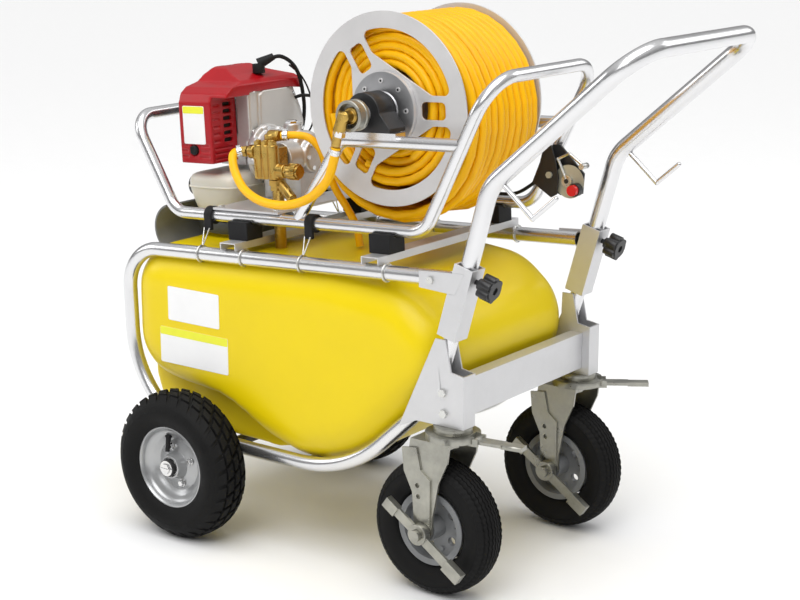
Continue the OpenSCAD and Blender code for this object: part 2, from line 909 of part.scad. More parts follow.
module control_bracket() {
    color("#1c1c1c") on_cart() on_carrier() {
        in_side_view(138, 142) polygon([[134, 44], [168, 104], [182, 104], [226, 58],
            [222, 24], [180, 20]]);
        along_y(200, 46, 129.5, 133, 27);
        along_y(200, 46, 124, 141, 3.9);
        // socket of the stop button
        difference() {
            along_y(218, 33, 118, 131, 11);
            along_y(218, 33, 117, 127.5, 9 + run_fit);
        }
        // band round the leg of the hoop
        toward([152, carrier_y, 70], [133, 0, 240]) difference() {
            cylinder(h = 14, r = carrier_tube / 2 + 3);
            translate([0, 0, -1]) cylinder(h = 16, r = carrier_tube / 2 + run_fit);
        }
    }
}

module throttle_lever() {
    color("silver") on_cart() on_carrier() difference() {
        union() {
            along_y(200, 46, 125, 129.2, 10);
            rod([200, 127, 46], [184, 127, 82], 5);
            rod([184, 127, 82], [206, 127, 92], 5);
            rod([206, 127, 92], [236, 127, 70], 5);
            translate([184, 127, 82]) sphere(d = 6);
            translate([206, 127, 92]) sphere(d = 6);
            rod([232, 120, 72], [232, 138, 72], 10);
        }
        along_y(200, 46, 120, 135, 3.9 + run_fit);
    }
}

module stop_button() {
    color("red") on_cart() on_carrier() along_y(218, 33, 110, 124.7, 9);
}

module control_cable() {
    color("#1c1c1c") on_cart() on_carrier()
        swept_cord(smooth(cable_route, 3), 6, 8, unit([0.3, 0.2, 1]));
}

// ---- handle ----

module handle_hook() {
    rod([279, -hoop_y, 671], [331, -hoop_y, 626], hook_wire);
    rod([331, -hoop_y, 626], [370, -hoop_y, 660], hook_wire);
    translate([331, -hoop_y, 626]) sphere(d = hook_wire);
    translate([370, -hoop_y, 660]) sphere(d = hook_wire);
}

module handle_frame() {
    bend = on_post(handle_bend, -hoop_y);
    grip = [grip_reach, -hoop_y, grip_height];
    foot = on_post(handle_start, -hoop_y);
    color("silver") on_cart() {
        bent_tube(
            [
                foot, bend, grip,
                [grip.x, hoop_y, grip.z], [bend.x, hoop_y, bend.z], [foot.x, hoop_y, foot.z],
            ],
            [0, 75, 62, 62, 75, 0], handle_tube, handle_wall);
        both_sides() handle_hook();
    }
}

module knob() {
    toward(on_post(knob_at, -hoop_y), post_normal) {
        translate([0, 0, knob_stand]) difference() {
            union() {
                cylinder(h = knob_thick, r = knob_diameter / 2 - 5);
                for (a = [0:60:300]) rotate(a) translate([knob_diameter / 2 - 7, 0, 0])
                    cylinder(h = knob_thick - 2, r = 7);
                translate([0, 0, -8]) cylinder(h = 10, r = 9);
            }
            translate([0, 0, knob_thick - 3]) cylinder(h = 4, r = 6);
        }
        translate([0, 0, handle_tube / 2 + gap]) cylinder(h = knob_stand - 10, r = 4);
    }
}

module knob_left() {
    color("#1c1c1c") on_cart() knob();
}

module knob_right() {
    color("#1c1c1c") on_cart() mirror([0, 1, 0]) knob();
}

// ---- front wheels ----

// rounded tyre section, hollow inside, with its beads on a seat around the rim
module tyre_section(r_in, r_out, width, wall, seat) {
    r = min((r_out - r_in) / 2, width / 2);
    mid = (r_out + r_in) / 2;
    difference() {
        union() {
            for (s = [-1, 1]) translate([mid, s * (width / 2 - r)]) circle(r);
            translate([r_in, -(width / 2 - r)]) square([r_out - r_in, width - 2 * r]);
        }
        for (s = [-1, 1]) translate([mid, s * (width / 2 - r)]) circle(r - wall);
        translate([r_in - 1, -(width / 2 - r)])
            square([r_out - r_in + 1 - wall, width - 2 * r]);
        translate([r_in - 1, -width / 2]) square([seat - r_in + 1, width]);
    }
}

module front_tyre() {
    along_wheel(-front_track / 2, axle_x, axle_z)
        rotate_extrude($fn = 128) tyre_section(front_rim - 8, front_wheel_diameter / 2,
            front_tyre_width, 8, front_rim + 2 + gap);
}

// turns a wheel's axis to lie along Y
module along_wheel(y, x, z) {
    translate([x, y, z]) rotate([90, 0, 0]) children();
}

// pressed steel rim: drop centre under the tyre, dished disc and bearing hub
module front_rim_wheel() {
    r = front_rim;
    along_wheel(-front_track / 2, axle_x, axle_z) {
        difference() {
            rotate_extrude($fn = 128) union() {
                // hub
                translate([10 + run_fit, -30]) square([9, 60]);
                // dished disc
                polygon([[18, -2], [28, 0], [42, -6], [r - 12, -4], [r - 12, -1], [42, -3],
                    [28, 3], [18, 1]]);
                // drop centre and flanges
                translate([r - 12.2, -25]) square([2.6, 50]);
                for (s = [-1, 1]) {
                    translate([r - 12.2, s * 25 - 1.3]) square([10, 2.6]);
                    translate([r - 3, s * 26.6 - 1.4]) square([5, 2.8]);
                }
            }
            for (a = [45:90:315]) rotate(a) translate([35, 0, -20]) cylinder(h = 60, r = 3);
        }
        // bolts that clamp the two halves, and the valve stem
        for (a = [0:90:270]) rotate(a) translate([35, 0, -6]) cylinder(h = 11, r = 4.5, $fn = 6);
        rotate(115) translate([43, 0, -5]) rotate([0, 10, 0]) cylinder(h = 30, r = 4);
    }
}

module front_tyre_left() {
    color("#262626") on_cart() front_tyre();
}

module front_rim_left() {
    color("silver") on_cart() front_rim_wheel();
}

module front_tyre_right() {
    color("#262626") on_cart() mirror([0, 1, 0]) front_tyre();
}

module front_rim_right() {
    color("silver") on_cart() mirror([0, 1, 0]) front_rim_wheel();
}

// ---- casters, each about its swivel axis at the origin ----

module at_caster(side) {
    translate([caster_x, side * caster_y, 0]) rotate(side < 0 ? left_caster_turn : 0) children();
}

module caster_plates() {
    color("#b9b9a6") on_cart() for (s = [-1, 1]) translate([caster_x, s * caster_y, 0]) {
        translate([0, 0, head_high + gap]) cylinder(h = 283 - head_high - gap - 0.1, r = 31);
        translate([0, 0, 249]) cylinder(h = 30, r = 6);
        translate([0, 0, 247]) cylinder(h = 6.6, r = 11, $fn = 6);
    }
}

module caster_fork(angle) {
    axle_height = caster_wheel_diameter / 2;
    outer = fork_inner + fork_plate;
    leg = [[-52, 262], [22, 262], [18, 232], [2, 196], [-9, 140], [-10, axle_height],
        [-18, axle_height - 15], [-36, axle_height - 15], [-44, axle_height], [-42, 150],
        [-46, 200], [-56, 236]];
    link = [[-66, 246], [-38, 250], [-30, 214], [-12, 200], [-12, axle_height + 8],
        [-20, axle_height - 12], [-34, axle_height - 12], [-42, axle_height + 8], [-46, 176],
        [-62, 208]];
    difference() {
        union() {
            translate([0, 0, head_low]) cylinder(h = head_high - head_low, r = 44);
            translate([-52, -outer, 256]) cube([74, 2 * outer, 6.5]);
            in_side_view(-outer, -fork_inner) polygon(leg);
            in_side_view(fork_inner, outer) polygon(leg);
            in_side_view(-outer - 3.5, -outer) polygon(link);
            // ears of the swivel lock
            rotate(angle) for (y = [-16, 12]) translate([34, y, 258]) cube([16, 4, 12]);
            // axle with its head and nut
            along_y(-caster_trail, axle_height, -68, outer + 12, caster_axle / 2);
            along_y(-caster_trail, axle_height, outer, outer + 8, 9.5);
            along_y(-caster_trail, axle_height, -68, -60, 9.5);
        }
        translate([0, 0, 250]) cylinder(h = 40, r = 6 + run_fit);
        translate([0, 0, 250]) cylinder(h = 6 + gap, r = 13);
        rotate(angle) {
            translate([34, -12, 250]) cube([40, 24, 40]);
            along_y(43, 264, -30, 30, 2.5);
        }
        for (z = [188, 170]) along_y(z == 188 ? -36 : -34, z, -60, -outer + 1, 4);
    }
}

module caster_tyre() {
    axle_height = caster_wheel_diameter / 2;
    along_wheel(0, -caster_trail, axle_height) rotate_extrude($fn = 128)
        tyre_section(caster_rim - 6, caster_wheel_diameter / 2, caster_tyre_width, 7,
            caster_rim + 1 + gap);
}

module caster_rim_wheel() {
    axle_height = caster_wheel_diameter / 2;
    r = caster_rim;
    along_wheel(0, -caster_trail, axle_height) {
        difference() {
            rotate_extrude($fn = 128) {
                translate([caster_axle / 2 + run_fit, -35]) square([12, 70]);
                translate([17, -5]) square([r - 24, 10]);
                translate([r - 9, -21]) square([3, 42]);
                for (s = [-1, 1]) translate([r - 9, s * 22 - 1.5]) square([10, 3]);
            }
            for (a = [36:72:324]) rotate(a) translate([36, 0, -20]) cylinder(h = 40, r = 7);
        }
        for (a = [0:72:288]) rotate(a) translate([38, 0, -9]) cylinder(h = 18, r = 4);
    }
}

// rocker on the axle: two pedals that press the brake on or off
module caster_brake() {
    axle_height = caster_wheel_diameter / 2;
    translate([-caster_trail, 0, axle_height]) {
        difference() {
            union() {
                along_y(0, 0, -59.7, -46, 17);
                rotate([0, 35, 0]) {
                    translate([-62, -57, -8]) cube([142, 5, 16]);
                    translate([-76, -60, -10]) cube([26, 12, 18]);
                    translate([64, -60, -11]) cube([34, 13, 20]);
                }
            }
            along_y(0, 0, -80, -40, caster_axle / 2 + run_fit);
        }
    }
}

// pedal that locks the swivel, hinged in two ears of the fork head
module caster_lock(angle) {
    rotate(angle) {
        translate([38, -11.7, 261]) cube([50, 23.4, 5]);
        along_y(43, 264, -11.7, 11.7, 5);
        translate([86, -9, 259]) cube([36, 18, 7]);
        along_y(43, 264, -16, 16, 2.5 - run_fit);
    }
}

module caster_fork_left() {
    color("#c8c8b4") on_cart() at_caster(-1) caster_fork(lock_angle[0]);
}

module caster_fork_right() {
    color("#c8c8b4") on_cart() at_caster(1) caster_fork(lock_angle[1]);
}

module caster_tyre_left() {
    color("#262626") on_cart() at_caster(-1) caster_tyre();
}

module caster_tyre_right() {
    color("#262626") on_cart() at_caster(1) caster_tyre();
}

module caster_rim_left() {
    color("gray") on_cart() at_caster(-1) caster_rim_wheel();
}

module caster_rim_right() {
    color("gray") on_cart() at_caster(1) caster_rim_wheel();
}

module caster_brake_left() {
    color("#b9b9a6") on_cart() at_caster(-1) caster_brake();
}

module caster_brake_right() {
    color("#b9b9a6") on_cart() at_caster(1) caster_brake();
}

module caster_lock_left() {
    color("#b9b9a6") on_cart() at_caster(-1) caster_lock(lock_angle[0]);
}

module caster_lock_right() {
    color("#b9b9a6") on_cart() at_caster(1) caster_lock(lock_angle[1]);
}

hoop_left();
hoop_right();
cross_plate();
gussets();
sleeves();
frame_bolts();
front_axle();
cross_channels();
rubber_blocks();
rubber_straps();
wire_hooks();
tank();
front_saddle();
carrier_side_left();
carrier_side_right();
carrier_hoop_front();
carrier_hoop_rear();
bearing_blocks();
hose_swivel();
engine_plate();
engine_block();
engine_cover();
engine_shroud();
engine_starter();
fuel_tank();
plug_boot();
pump_body();
pump_manifold();
suction_pipe();
delivery_hose();
bypass_hose();
control_bracket();
control_cable();
caster_plates();
handle_frame();
knob_left();
knob_right();
tank_lid();
reel_flanges();
reel_hub();
hose_winding();
crank_grip();
front_tyre_left();
front_rim_left();
front_tyre_right();
front_rim_right();
caster_fork_left();
caster_fork_right();
caster_tyre_left();
caster_tyre_right();
caster_rim_left();
caster_rim_right();
caster_brake_left();
caster_brake_right();
caster_lock_left();
caster_lock_right();
throttle_lever();
stop_button();
fuel_cap();
pressure_knob();
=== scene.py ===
"""Looks of the wheeled motor sprayer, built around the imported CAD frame. Metres, +Z up."""

import json
import math
import random

import bmesh
import bpy
from mathutils import Matrix, Vector


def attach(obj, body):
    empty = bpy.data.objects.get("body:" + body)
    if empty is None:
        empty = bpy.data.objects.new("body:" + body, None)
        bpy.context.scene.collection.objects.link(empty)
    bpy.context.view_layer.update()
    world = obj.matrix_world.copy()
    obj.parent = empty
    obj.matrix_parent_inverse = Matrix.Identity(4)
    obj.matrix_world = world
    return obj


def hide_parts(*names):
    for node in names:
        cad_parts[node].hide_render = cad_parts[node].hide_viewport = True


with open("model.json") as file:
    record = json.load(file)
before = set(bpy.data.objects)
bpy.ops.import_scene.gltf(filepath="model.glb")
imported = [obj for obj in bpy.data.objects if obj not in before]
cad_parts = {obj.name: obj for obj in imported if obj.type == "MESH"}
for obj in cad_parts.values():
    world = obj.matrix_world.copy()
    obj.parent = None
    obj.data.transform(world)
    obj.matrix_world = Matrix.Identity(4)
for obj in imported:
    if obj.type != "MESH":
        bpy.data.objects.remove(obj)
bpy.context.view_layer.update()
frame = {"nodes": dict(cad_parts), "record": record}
nodes = frame["nodes"]

MM = 0.001
PITCH = math.radians(3)
SHIFT = 6.193 * MM  # puts the middle of the cart over the origin
CARRIER_Z = 567 * MM


def cart(x, y, z):
    """A point of the cart's design axes, given in mm."""
    return Vector((x * MM + SHIFT, y * MM, z * MM))


def carrier(u, y, w):
    """A point of the pitched engine and reel carrier's axes, given in mm."""
    c, s = math.cos(PITCH), math.sin(PITCH)
    return Vector(((u * c - w * s) * MM + SHIFT, y * MM, CARRIER_Z + (u * s + w * c) * MM))


CARRIER = Matrix.Translation((SHIFT, 0, CARRIER_Z)) @ Matrix.Rotation(-PITCH, 4, "Y")

# ---------------------------------------------------------------- camera

CAMERA_AZIMUTH = math.radians(36.593)
CAMERA_ELEVATION = math.radians(13.843)
CAMERA_AT = (1689.3, -2343.8, 1129.7)
LENS, SENSOR = 79.48, 36
CLIP_NEAR, CLIP_FAR = 0.1, 60


def make_camera():
    data = bpy.data.cameras.new("camera")
    data.lens, data.sensor_width = LENS, SENSOR
    data.clip_start, data.clip_end = CLIP_NEAR, CLIP_FAR
    cam = bpy.data.objects.new("camera", data)
    bpy.context.scene.collection.objects.link(cam)
    back = Vector((
        math.sin(CAMERA_AZIMUTH) * math.cos(CAMERA_ELEVATION),
        -math.cos(CAMERA_AZIMUTH) * math.cos(CAMERA_ELEVATION),
        math.sin(CAMERA_ELEVATION),
    ))
    cam.location = cart(*CAMERA_AT)
    cam.rotation_mode = "QUATERNION"
    cam.rotation_quaternion = (-back).to_track_quat("-Z", "Y")
    bpy.context.scene.camera = cam


make_camera()

# ---------------------------------------------------------------- mesh helpers


def add_object(name, mesh, body, material=None):
    obj = bpy.data.objects.new(name, mesh)
    bpy.context.scene.collection.objects.link(obj)
    if material:
        obj.data.materials.append(material)
    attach(obj, body)
    return obj


def from_bmesh(name, bm, body, material, smooth=True, replaces=()):
    bmesh.ops.recalc_face_normals(bm, faces=bm.faces)
    mesh = bpy.data.meshes.new(name)
    bm.to_mesh(mesh)
    bm.free()
    mesh.polygons.foreach_set("use_smooth", [smooth] * len(mesh.polygons))
    obj = add_object(name, mesh, body, material)
    if replaces:
        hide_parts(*replaces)
    return obj


def bevel(obj, width, segments=2, angle=30):
    mod = obj.modifiers.new("edge", "BEVEL")
    mod.width = width
    mod.segments = segments
    mod.limit_method = "ANGLE"
    mod.angle_limit = math.radians(angle)
    mod.harden_normals = True
    return mod


def sharpen(mesh, angle=30):
    """Smooth faces, with every edge over the angle kept sharp."""
    bm = bmesh.new()
    bm.from_mesh(mesh)
    for e in bm.edges:
        e.smooth = len(e.link_faces) == 2 and e.calc_face_angle(0) < math.radians(angle)
    for f in bm.faces:
        f.smooth = True
    bm.to_mesh(mesh)
    bm.free()


def curve_object(name, points, radius, body, material, sides=8, steps=6):
    """A round tube along a smooth line through the points."""
    data = bpy.data.curves.new(name, "CURVE")
    data.dimensions = "3D"
    data.bevel_depth = radius
    data.bevel_resolution = sides // 4
    data.resolution_u = steps
    data.use_fill_caps = True
    spline = data.splines.new("POLY")
    spline.points.add(len(points) - 1)
    for p, q in zip(spline.points, points):
        p.co = (*q, 1)
    spline.use_smooth = True
    return add_object(name, data, body, material)


def smooth_line(route, steps):
    """Points on the Catmull-Rom line through the route, as the CAD sweeps it."""
    line = []
    for i in range(len(route) - 1):
        a, b, c, d = (Vector(route[min(max(k, 0), len(route) - 1)]) for k in range(i - 1, i + 3))
        for k in range(steps):
            t = k / steps
            line.append(0.5 * (2 * b + (c - a) * t + (2 * a - 5 * b + 4 * c - d) * t * t
                               + (3 * b - a - 3 * c + d) * t ** 3))
    line.append(Vector(route[-1]))
    return line


# ---------------------------------------------------------------- materials


class Nodes:
    """A small helper for a Principled material."""

    def __init__(self, name):
        self.mat = bpy.data.materials.new(name)
        self.mat.use_nodes = True
        self.tree = self.mat.node_tree
        self.shader = self.tree.nodes["Principled BSDF"]
        self.place = self.add("ShaderNodeTexCoord").outputs["Object"]

    def add(self, kind, **sets):
        node = self.tree.nodes.new(kind)
        for key, value in sets.items():
            setattr(node, key, value)
        return node

    def link(self, a, b):
        self.tree.links.new(a, b)

    def noise(self, scale, detail=3, rough=0.5, stretch=None):
        tex = self.add("ShaderNodeTexNoise")
        tex.inputs["Scale"].default_value = scale
        tex.inputs["Detail"].default_value = detail
        tex.inputs["Roughness"].default_value = rough
        if stretch:
            scaled = self.add("ShaderNodeMapping")
            scaled.inputs["Scale"].default_value = stretch
            self.link(self.place, scaled.inputs["Vector"])
            self.link(scaled.outputs["Vector"], tex.inputs["Vector"])
        else:
            self.link(self.place, tex.inputs["Vector"])
        return tex.outputs["Fac"]

    def ramp(self, value, stops):
        node = self.add("ShaderNodeValToRGB")
        ramp = node.color_ramp
        while len(ramp.elements) < len(stops):
            ramp.elements.new(0.5)
        for element, (at, color) in zip(ramp.elements, stops):
            element.position = at
            element.color = (*color, 1) if len(color) == 3 else color
        self.link(value, node.inputs["Fac"])
        return node.outputs["Color"]

    def spread(self, value, low, high, from_low=0.3, from_high=0.7):
        node = self.add("ShaderNodeMapRange")
        node.inputs["From Min"].default_value = from_low
        node.inputs["From Max"].default_value = from_high
        node.inputs["To Min"].default_value = low
        node.inputs["To Max"].default_value = high
        self.link(value, node.inputs["Value"])
        return node.outputs["Result"]

    def bump(self, height, strength, distance, before=None):
        node = self.add("ShaderNodeBump")
        node.inputs["Strength"].default_value = strength
        node.inputs["Distance"].default_value = distance
        self.link(height, node.inputs["Height"])
        if before:
            self.link(before, node.inputs["Normal"])
        self.link(node.outputs["Normal"], self.shader.inputs["Normal"])
        return node.outputs["Normal"]


def shade(color, factor):
    return tuple(min(1.0, c * factor) for c in color)


def surface(name, color, rough, metal=0.0, coat=0.0, mottle=0.06, mottle_scale=14,
            grain=900, grain_bump=0.12, wave=0.0, wave_scale=12, stretch=None,
            rough_spread=0.05, specular=0.5, subsurface=0.0):
    """Colour that drifts a little, roughness that drifts with it, and a fine bump."""
    n = Nodes(name)
    s = n.shader.inputs
    drift = n.noise(mottle_scale, 4, 0.6)
    n.link(n.ramp(drift, [(0.3, shade(color, 1 - mottle)), (0.7, shade(color, 1 + mottle))]),
           s["Base Color"])
    fine = n.noise(grain, 2, 0.5, stretch)
    n.link(n.spread(drift, rough - rough_spread, rough + rough_spread), s["Roughness"])
    last = None
    if wave:
        last = n.bump(n.noise(wave_scale, 1, 0.4), wave, 0.004)
    n.bump(fine, grain_bump, 0.0004, last)
    s["Metallic"].default_value = metal
    s["Specular IOR Level"].default_value = specular
    s["Coat Weight"].default_value = coat
    s["Coat Roughness"].default_value = 0.08
    s["Subsurface Weight"].default_value = subsurface
    if subsurface:
        s["Subsurface Radius"].default_value = (0.02, 0.015, 0.01)
        s["Subsurface Scale"].default_value = 0.5
    return n.mat


MATERIALS = {
    "alu_tube": surface("tube_aluminium", (0.74, 0.74, 0.75), 0.24, metal=0.95, mottle=0.03,
                        mottle_scale=6, grain=900, grain_bump=0.03, rough_spread=0.02),
    "alu_sheet": surface("sheet_aluminium", (0.66, 0.66, 0.67), 0.42, metal=0.75, mottle=0.05,
                         grain=700, stretch=(14, 1, 14), grain_bump=0.18),
    "zinc": surface("zinc_plate", (0.36, 0.355, 0.315), 0.36, metal=0.85, mottle=0.25,
                    mottle_scale=26, grain=380, grain_bump=0.25, rough_spread=0.12),
    "steel": surface("bright_zinc", (0.66, 0.66, 0.64), 0.28, metal=0.95, mottle=0.12,
                     mottle_scale=40, rough_spread=0.1),
    "dark_steel": surface("black_painted_steel", (0.018, 0.018, 0.019), 0.42, coat=0.2,
                          grain=420, grain_bump=0.25),
    "tank_yellow": surface("tank_plastic", (0.80, 0.605, 0.0015), 0.36, coat=0.06, specular=0.28,
                           mottle=0.025, mottle_scale=5, grain=260, grain_bump=0.22,
                           wave=0.10, wave_scale=7, subsurface=0.04),
    "black_plastic": surface("black_plastic", (0.013, 0.013, 0.014), 0.38, mottle=0.3,
                             grain=800, grain_bump=0.3),
    "grey_plastic": surface("dark_grey_plastic", (0.055, 0.06, 0.062), 0.42, mottle=0.2,
                            grain=700, grain_bump=0.3),
    "rim_grey": surface("grey_rim_plastic", (0.19, 0.195, 0.20), 0.40, mottle=0.12,
                        grain=600, grain_bump=0.22),
    "rubber": surface("moulded_rubber", (0.010, 0.010, 0.011), 0.6, mottle=0.3,
                      grain=500, grain_bump=0.45, specular=0.25),
    "tyre": surface("tyre_rubber", (0.0055, 0.0054, 0.0054), 0.66, mottle=0.35, mottle_scale=30,
                    grain=420, grain_bump=0.5, rough_spread=0.1, specular=0.18),
    "rim_silver": surface("silver_paint", (0.42, 0.425, 0.43), 0.32, metal=0.7, coat=0.3,
                          mottle=0.05, grain=1400, grain_bump=0.08),
    "reel_alu": surface("silver_cast_plate", (0.63, 0.62, 0.62), 0.36, metal=0.45, coat=0.1,
                        mottle=0.04, grain=1100, grain_bump=0.14),
    "hose": surface("spray_hose", (0.90, 0.47, 0.0008), 0.34, coat=0.04, specular=0.24, mottle=0.08,
                    mottle_scale=9, grain=420, grain_bump=0.10, subsurface=0.05),
    "engine_red": surface("red_cover_plastic", (0.36, 0.003, 0.008), 0.34, coat=0.15, specular=0.3,
                          mottle=0.08, mottle_scale=20, grain=600, grain_bump=0.12),
    "cast_alu": surface("shot_blasted_casting", (0.62, 0.61, 0.60), 0.42, metal=0.8,
                        mottle=0.10, mottle_scale=50, grain=320, grain_bump=0.5),
    "fuel_white": surface("milky_fuel_tank", (0.70, 0.67, 0.58), 0.35, mottle=0.05,
                          mottle_scale=9, grain=300, grain_bump=0.14, subsurface=0.35),
    "brass": surface("tumbled_brass", (0.50, 0.33, 0.085), 0.30, metal=0.95, mottle=0.18,
                     mottle_scale=45, grain=300, grain_bump=0.22, rough_spread=0.1),
    "red_knob": surface("red_knob_plastic", (0.62, 0.010, 0.008), 0.22, coat=0.5),
}
LABEL_WHITE = surface("label_white", (0.86, 0.86, 0.86), 0.45, mottle=0.02, grain=900,
                      grain_bump=0.05)
LABEL_YELLOW = surface("label_yellow", (0.80, 0.80, 0.03), 0.45, mottle=0.02, grain=900,
                       grain_bump=0.05)
BRIGHT_STEEL = surface("machined_steel", (0.72, 0.72, 0.72), 0.18, metal=1.0, mottle=0.06,
                       grain=1200, grain_bump=0.1)
COWL_SILVER = surface("painted_cowl", (0.58, 0.57, 0.55), 0.36, metal=0.55, coat=0.2, mottle=0.05,
                      grain=800, grain_bump=0.12)
GUARD_GREY = surface("guard_grey", (0.17, 0.175, 0.175), 0.38, mottle=0.15, grain=700,
                     grain_bump=0.2)
BRUSHED_DISC = surface("brushed_disc", (0.42, 0.42, 0.43), 0.34, metal=0.9, mottle=0.08,
                       grain=500, stretch=(1, 1, 9), grain_bump=0.2)
PASSIVATED = surface("passivated_zinc", (0.47, 0.45, 0.35), 0.45, metal=0.35, mottle=0.15,
                     grain=500, grain_bump=0.2)
# painted shade: a near-black that stands in for the shade at the bottom of slots, holes and recesses
PAINTED_SHADE = surface("shadow_gap", (0.01, 0.01, 0.011), 0.7, grain_bump=0.1)

# ---------------------------------------------------------------- cords

DELIVERY = [
    (-9, -214, 136), (-16, -213, 114), (-38, -206, 80), (-82, -196, 50), (-140, -186, 33),
    (-200, -176, 33), (-250, -163, 48), (-282, -149, 74), (-298, -136, 96), (-302, -124, 104),
    (-292, -114, 106),
]
BYPASS = [
    (-229, -88, 131), (-212, -80, 132), (-185, -70, 128), (-166, -63, 108), (-158, -58, 76),
    (-144, -54, 40), (-124, -50, 8), (-108, -47, -24), (-104, -46, -56),
]
CONTROL = [
    (-334.5, 78, 176), (-318, 84, 180), (-296, 100, 172), (-266, 120, 134), (-238, 131, 80),
    (-200, 136, 30), (-150, 137, 17), (-60, 137, 16), (40, 137, 16), (90, 136, 18),
    (125, 132, 34), (150, 129, 52), (172, 128, 60),
]


def make_cord(name, route, diameter, slot, replaced):
    """A hose or cable held at both ends, on its real route."""
    line = [carrier(*p) for p in smooth_line(route, 8)]
    obj = curve_object(name, line, diameter / 2, "cart", MATERIALS[slot], sides=24)
    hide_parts(replaced)
    return line


make_cord("delivery_hose_skin", DELIVERY, 15 * MM, "hose", "delivery_hose")
make_cord("bypass_hose_skin", BYPASS, 13 * MM, "hose", "bypass_hose")
make_cord("control_cable_skin", CONTROL, 6 * MM, "rubber", "control_cable")

# ---------------------------------------------------------------- CAD nodes that keep their shape

BEVELS = {
    "cross_plate": 1.0, "gussets": 0.8, "sleeves": 0.8, "frame_bolts": 0.5, "front_axle": 0.8,
    "cross_channels": 0.7, "rubber_blocks": 2.0, "rubber_straps": 1.0, "bearing_blocks": 1.6,
    "hose_swivel": 0.5, "engine_plate": 0.6, "engine_block": 0.9, "engine_cover": 1.6,
    "engine_shroud": 2.2, "engine_starter": 0.9, "fuel_tank": 2.5, "pump_body": 1.6,
    "pump_manifold": 0.8, "suction_pipe": 0.4, "control_bracket": 0.5, "caster_plates": 0.8,
    "knob_left": 1.2, "knob_right": 1.2, "tank_lid": 1.2, "reel_flanges": 0.6, "reel_hub": 0.8,
    "crank_grip": 1.5, "caster_fork_left": 0.8, "caster_fork_right": 0.8,
    "caster_rim_left": 0.8, "caster_rim_right": 0.8, "caster_brake_left": 1.2,
    "caster_brake_right": 1.2, "caster_lock_left": 0.8, "caster_lock_right": 0.8,
    "throttle_lever": 0.4, "stop_button": 2.5, "fuel_cap": 1.2, "pressure_knob": 0.8,
    "front_saddle": 0.8, "plug_boot": 1.0,
}


def dress_nodes():
    """The record's slot decides each node's finish; folded and moulded edges are rounded."""
    slots = {s["node"]: s["material_slot"] for s in frame["record"]["subparts"]}
    for name, obj in nodes.items():
        obj.data.materials.clear()
        obj.data.materials.append(GUARD_GREY if name == "front_saddle" else MATERIALS[slots[name]])
        if name in BEVELS:
            weld = obj.modifiers.new("weld", "WELD")
            weld.merge_threshold = 1e-5
            bevel(obj, BEVELS[name] * MM, 2, 32)


dress_nodes()

# ---------------------------------------------------------------- shared shapes


def lathe(bm, profile, steps, matrix, closed=True, wobble=None):
    """Turns (radius, side) points about local Y. wobble(step, index, r, y) may shift a point."""
    rings = []
    for k in range(steps):
        a = 2 * math.pi * k / steps
        ring = []
        for i, (r, y) in enumerate(profile):
            if wobble:
                r, y = wobble(k, i, r, y)
            ring.append(bm.verts.new(matrix @ Vector((r * math.cos(a), y, r * math.sin(a)))))
        rings.append(ring)
    count = len(profile)
    for k in range(steps):
        here, there = rings[k], rings[(k + 1) % steps]
        for i in range(count if closed else count - 1):
            j = (i + 1) % count
            bm.faces.new((here[i], here[j], there[j], there[i]))


def block(bm, corners):
    """A closed eight-corner block: four corners of the bottom, then four of the top."""
    v = [bm.verts.new(c) for c in corners]
    for f in ((0, 3, 2, 1), (4, 5, 6, 7), (0, 1, 5, 4), (1, 2, 6, 5), (2, 3, 7, 6), (3, 0, 4, 7)):
        bm.faces.new([v[i] for i in f])


def box_at(bm, matrix, size):
    x, y, z = (s / 2 for s in size)
    block(bm, [matrix @ Vector(c) for c in (
        (-x, -y, -z), (x, -y, -z), (x, y, -z), (-x, y, -z),
        (-x, -y, z), (x, -y, z), (x, y, z), (-x, y, z))])


AXIS = 0.0001 * MM  # turned pieces stop this close to their axis


def hexagon_head(bm, matrix, across, height, washer=1.35, washer_height=0.18):
    """A hexagon head with a flat washer, its axis along local Z from the seat."""
    corner = across / math.sqrt(3)
    base, rim = across * washer_height, across * washer / 2
    lathe_z(bm, [(AXIS, 0), (rim, 0), (rim, base), (AXIS, base)], 28, matrix)
    rings = []
    for z, r in ((base, corner), (base + height * 0.82, corner), (base + height, corner * 0.86)):
        rings.append([bm.verts.new(matrix @ Vector((
            r * math.cos(math.pi * k / 3), r * math.sin(math.pi * k / 3), z))) for k in range(6)])
    for low, high in zip(rings, rings[1:]):
        for k in range(6):
            j = (k + 1) % 6
            bm.faces.new((low[k], low[j], high[j], high[k]))
    bm.faces.new(rings[-1])
    bm.faces.new(reversed(rings[0]))


def lathe_z(bm, profile, steps, matrix):
    """Turns (radius, height) points about local Z."""
    lathe(bm, profile, steps, matrix @ Matrix.Rotation(math.radians(90), 4, "X"))


def along(at, direction, roll=0.0):
    """A matrix at a point with local Z along the direction."""
    turn = Vector(direction).to_track_quat("Z", "Y").to_matrix().to_4x4()
    return Matrix.Translation(at) @ turn @ Matrix.Rotation(roll, 4, "Z")


def settled(obj):
    """The object's mesh with its modifiers applied, as a new mesh."""
    graph = bpy.context.evaluated_depsgraph_get()
    return bpy.data.meshes.new_from_object(obj.evaluated_get(graph))


def scratch(name, bm):
    mesh = bpy.data.meshes.new(name)
    bm.to_mesh(mesh)
    bm.free()
    obj = bpy.data.objects.new(name, mesh)
    bpy.context.scene.collection.objects.link(obj)
    return obj


# ---------------------------------------------------------------- tank

TANK_HALF, TANK_EDGE = 200, 66
BEYOND_TANK = 260
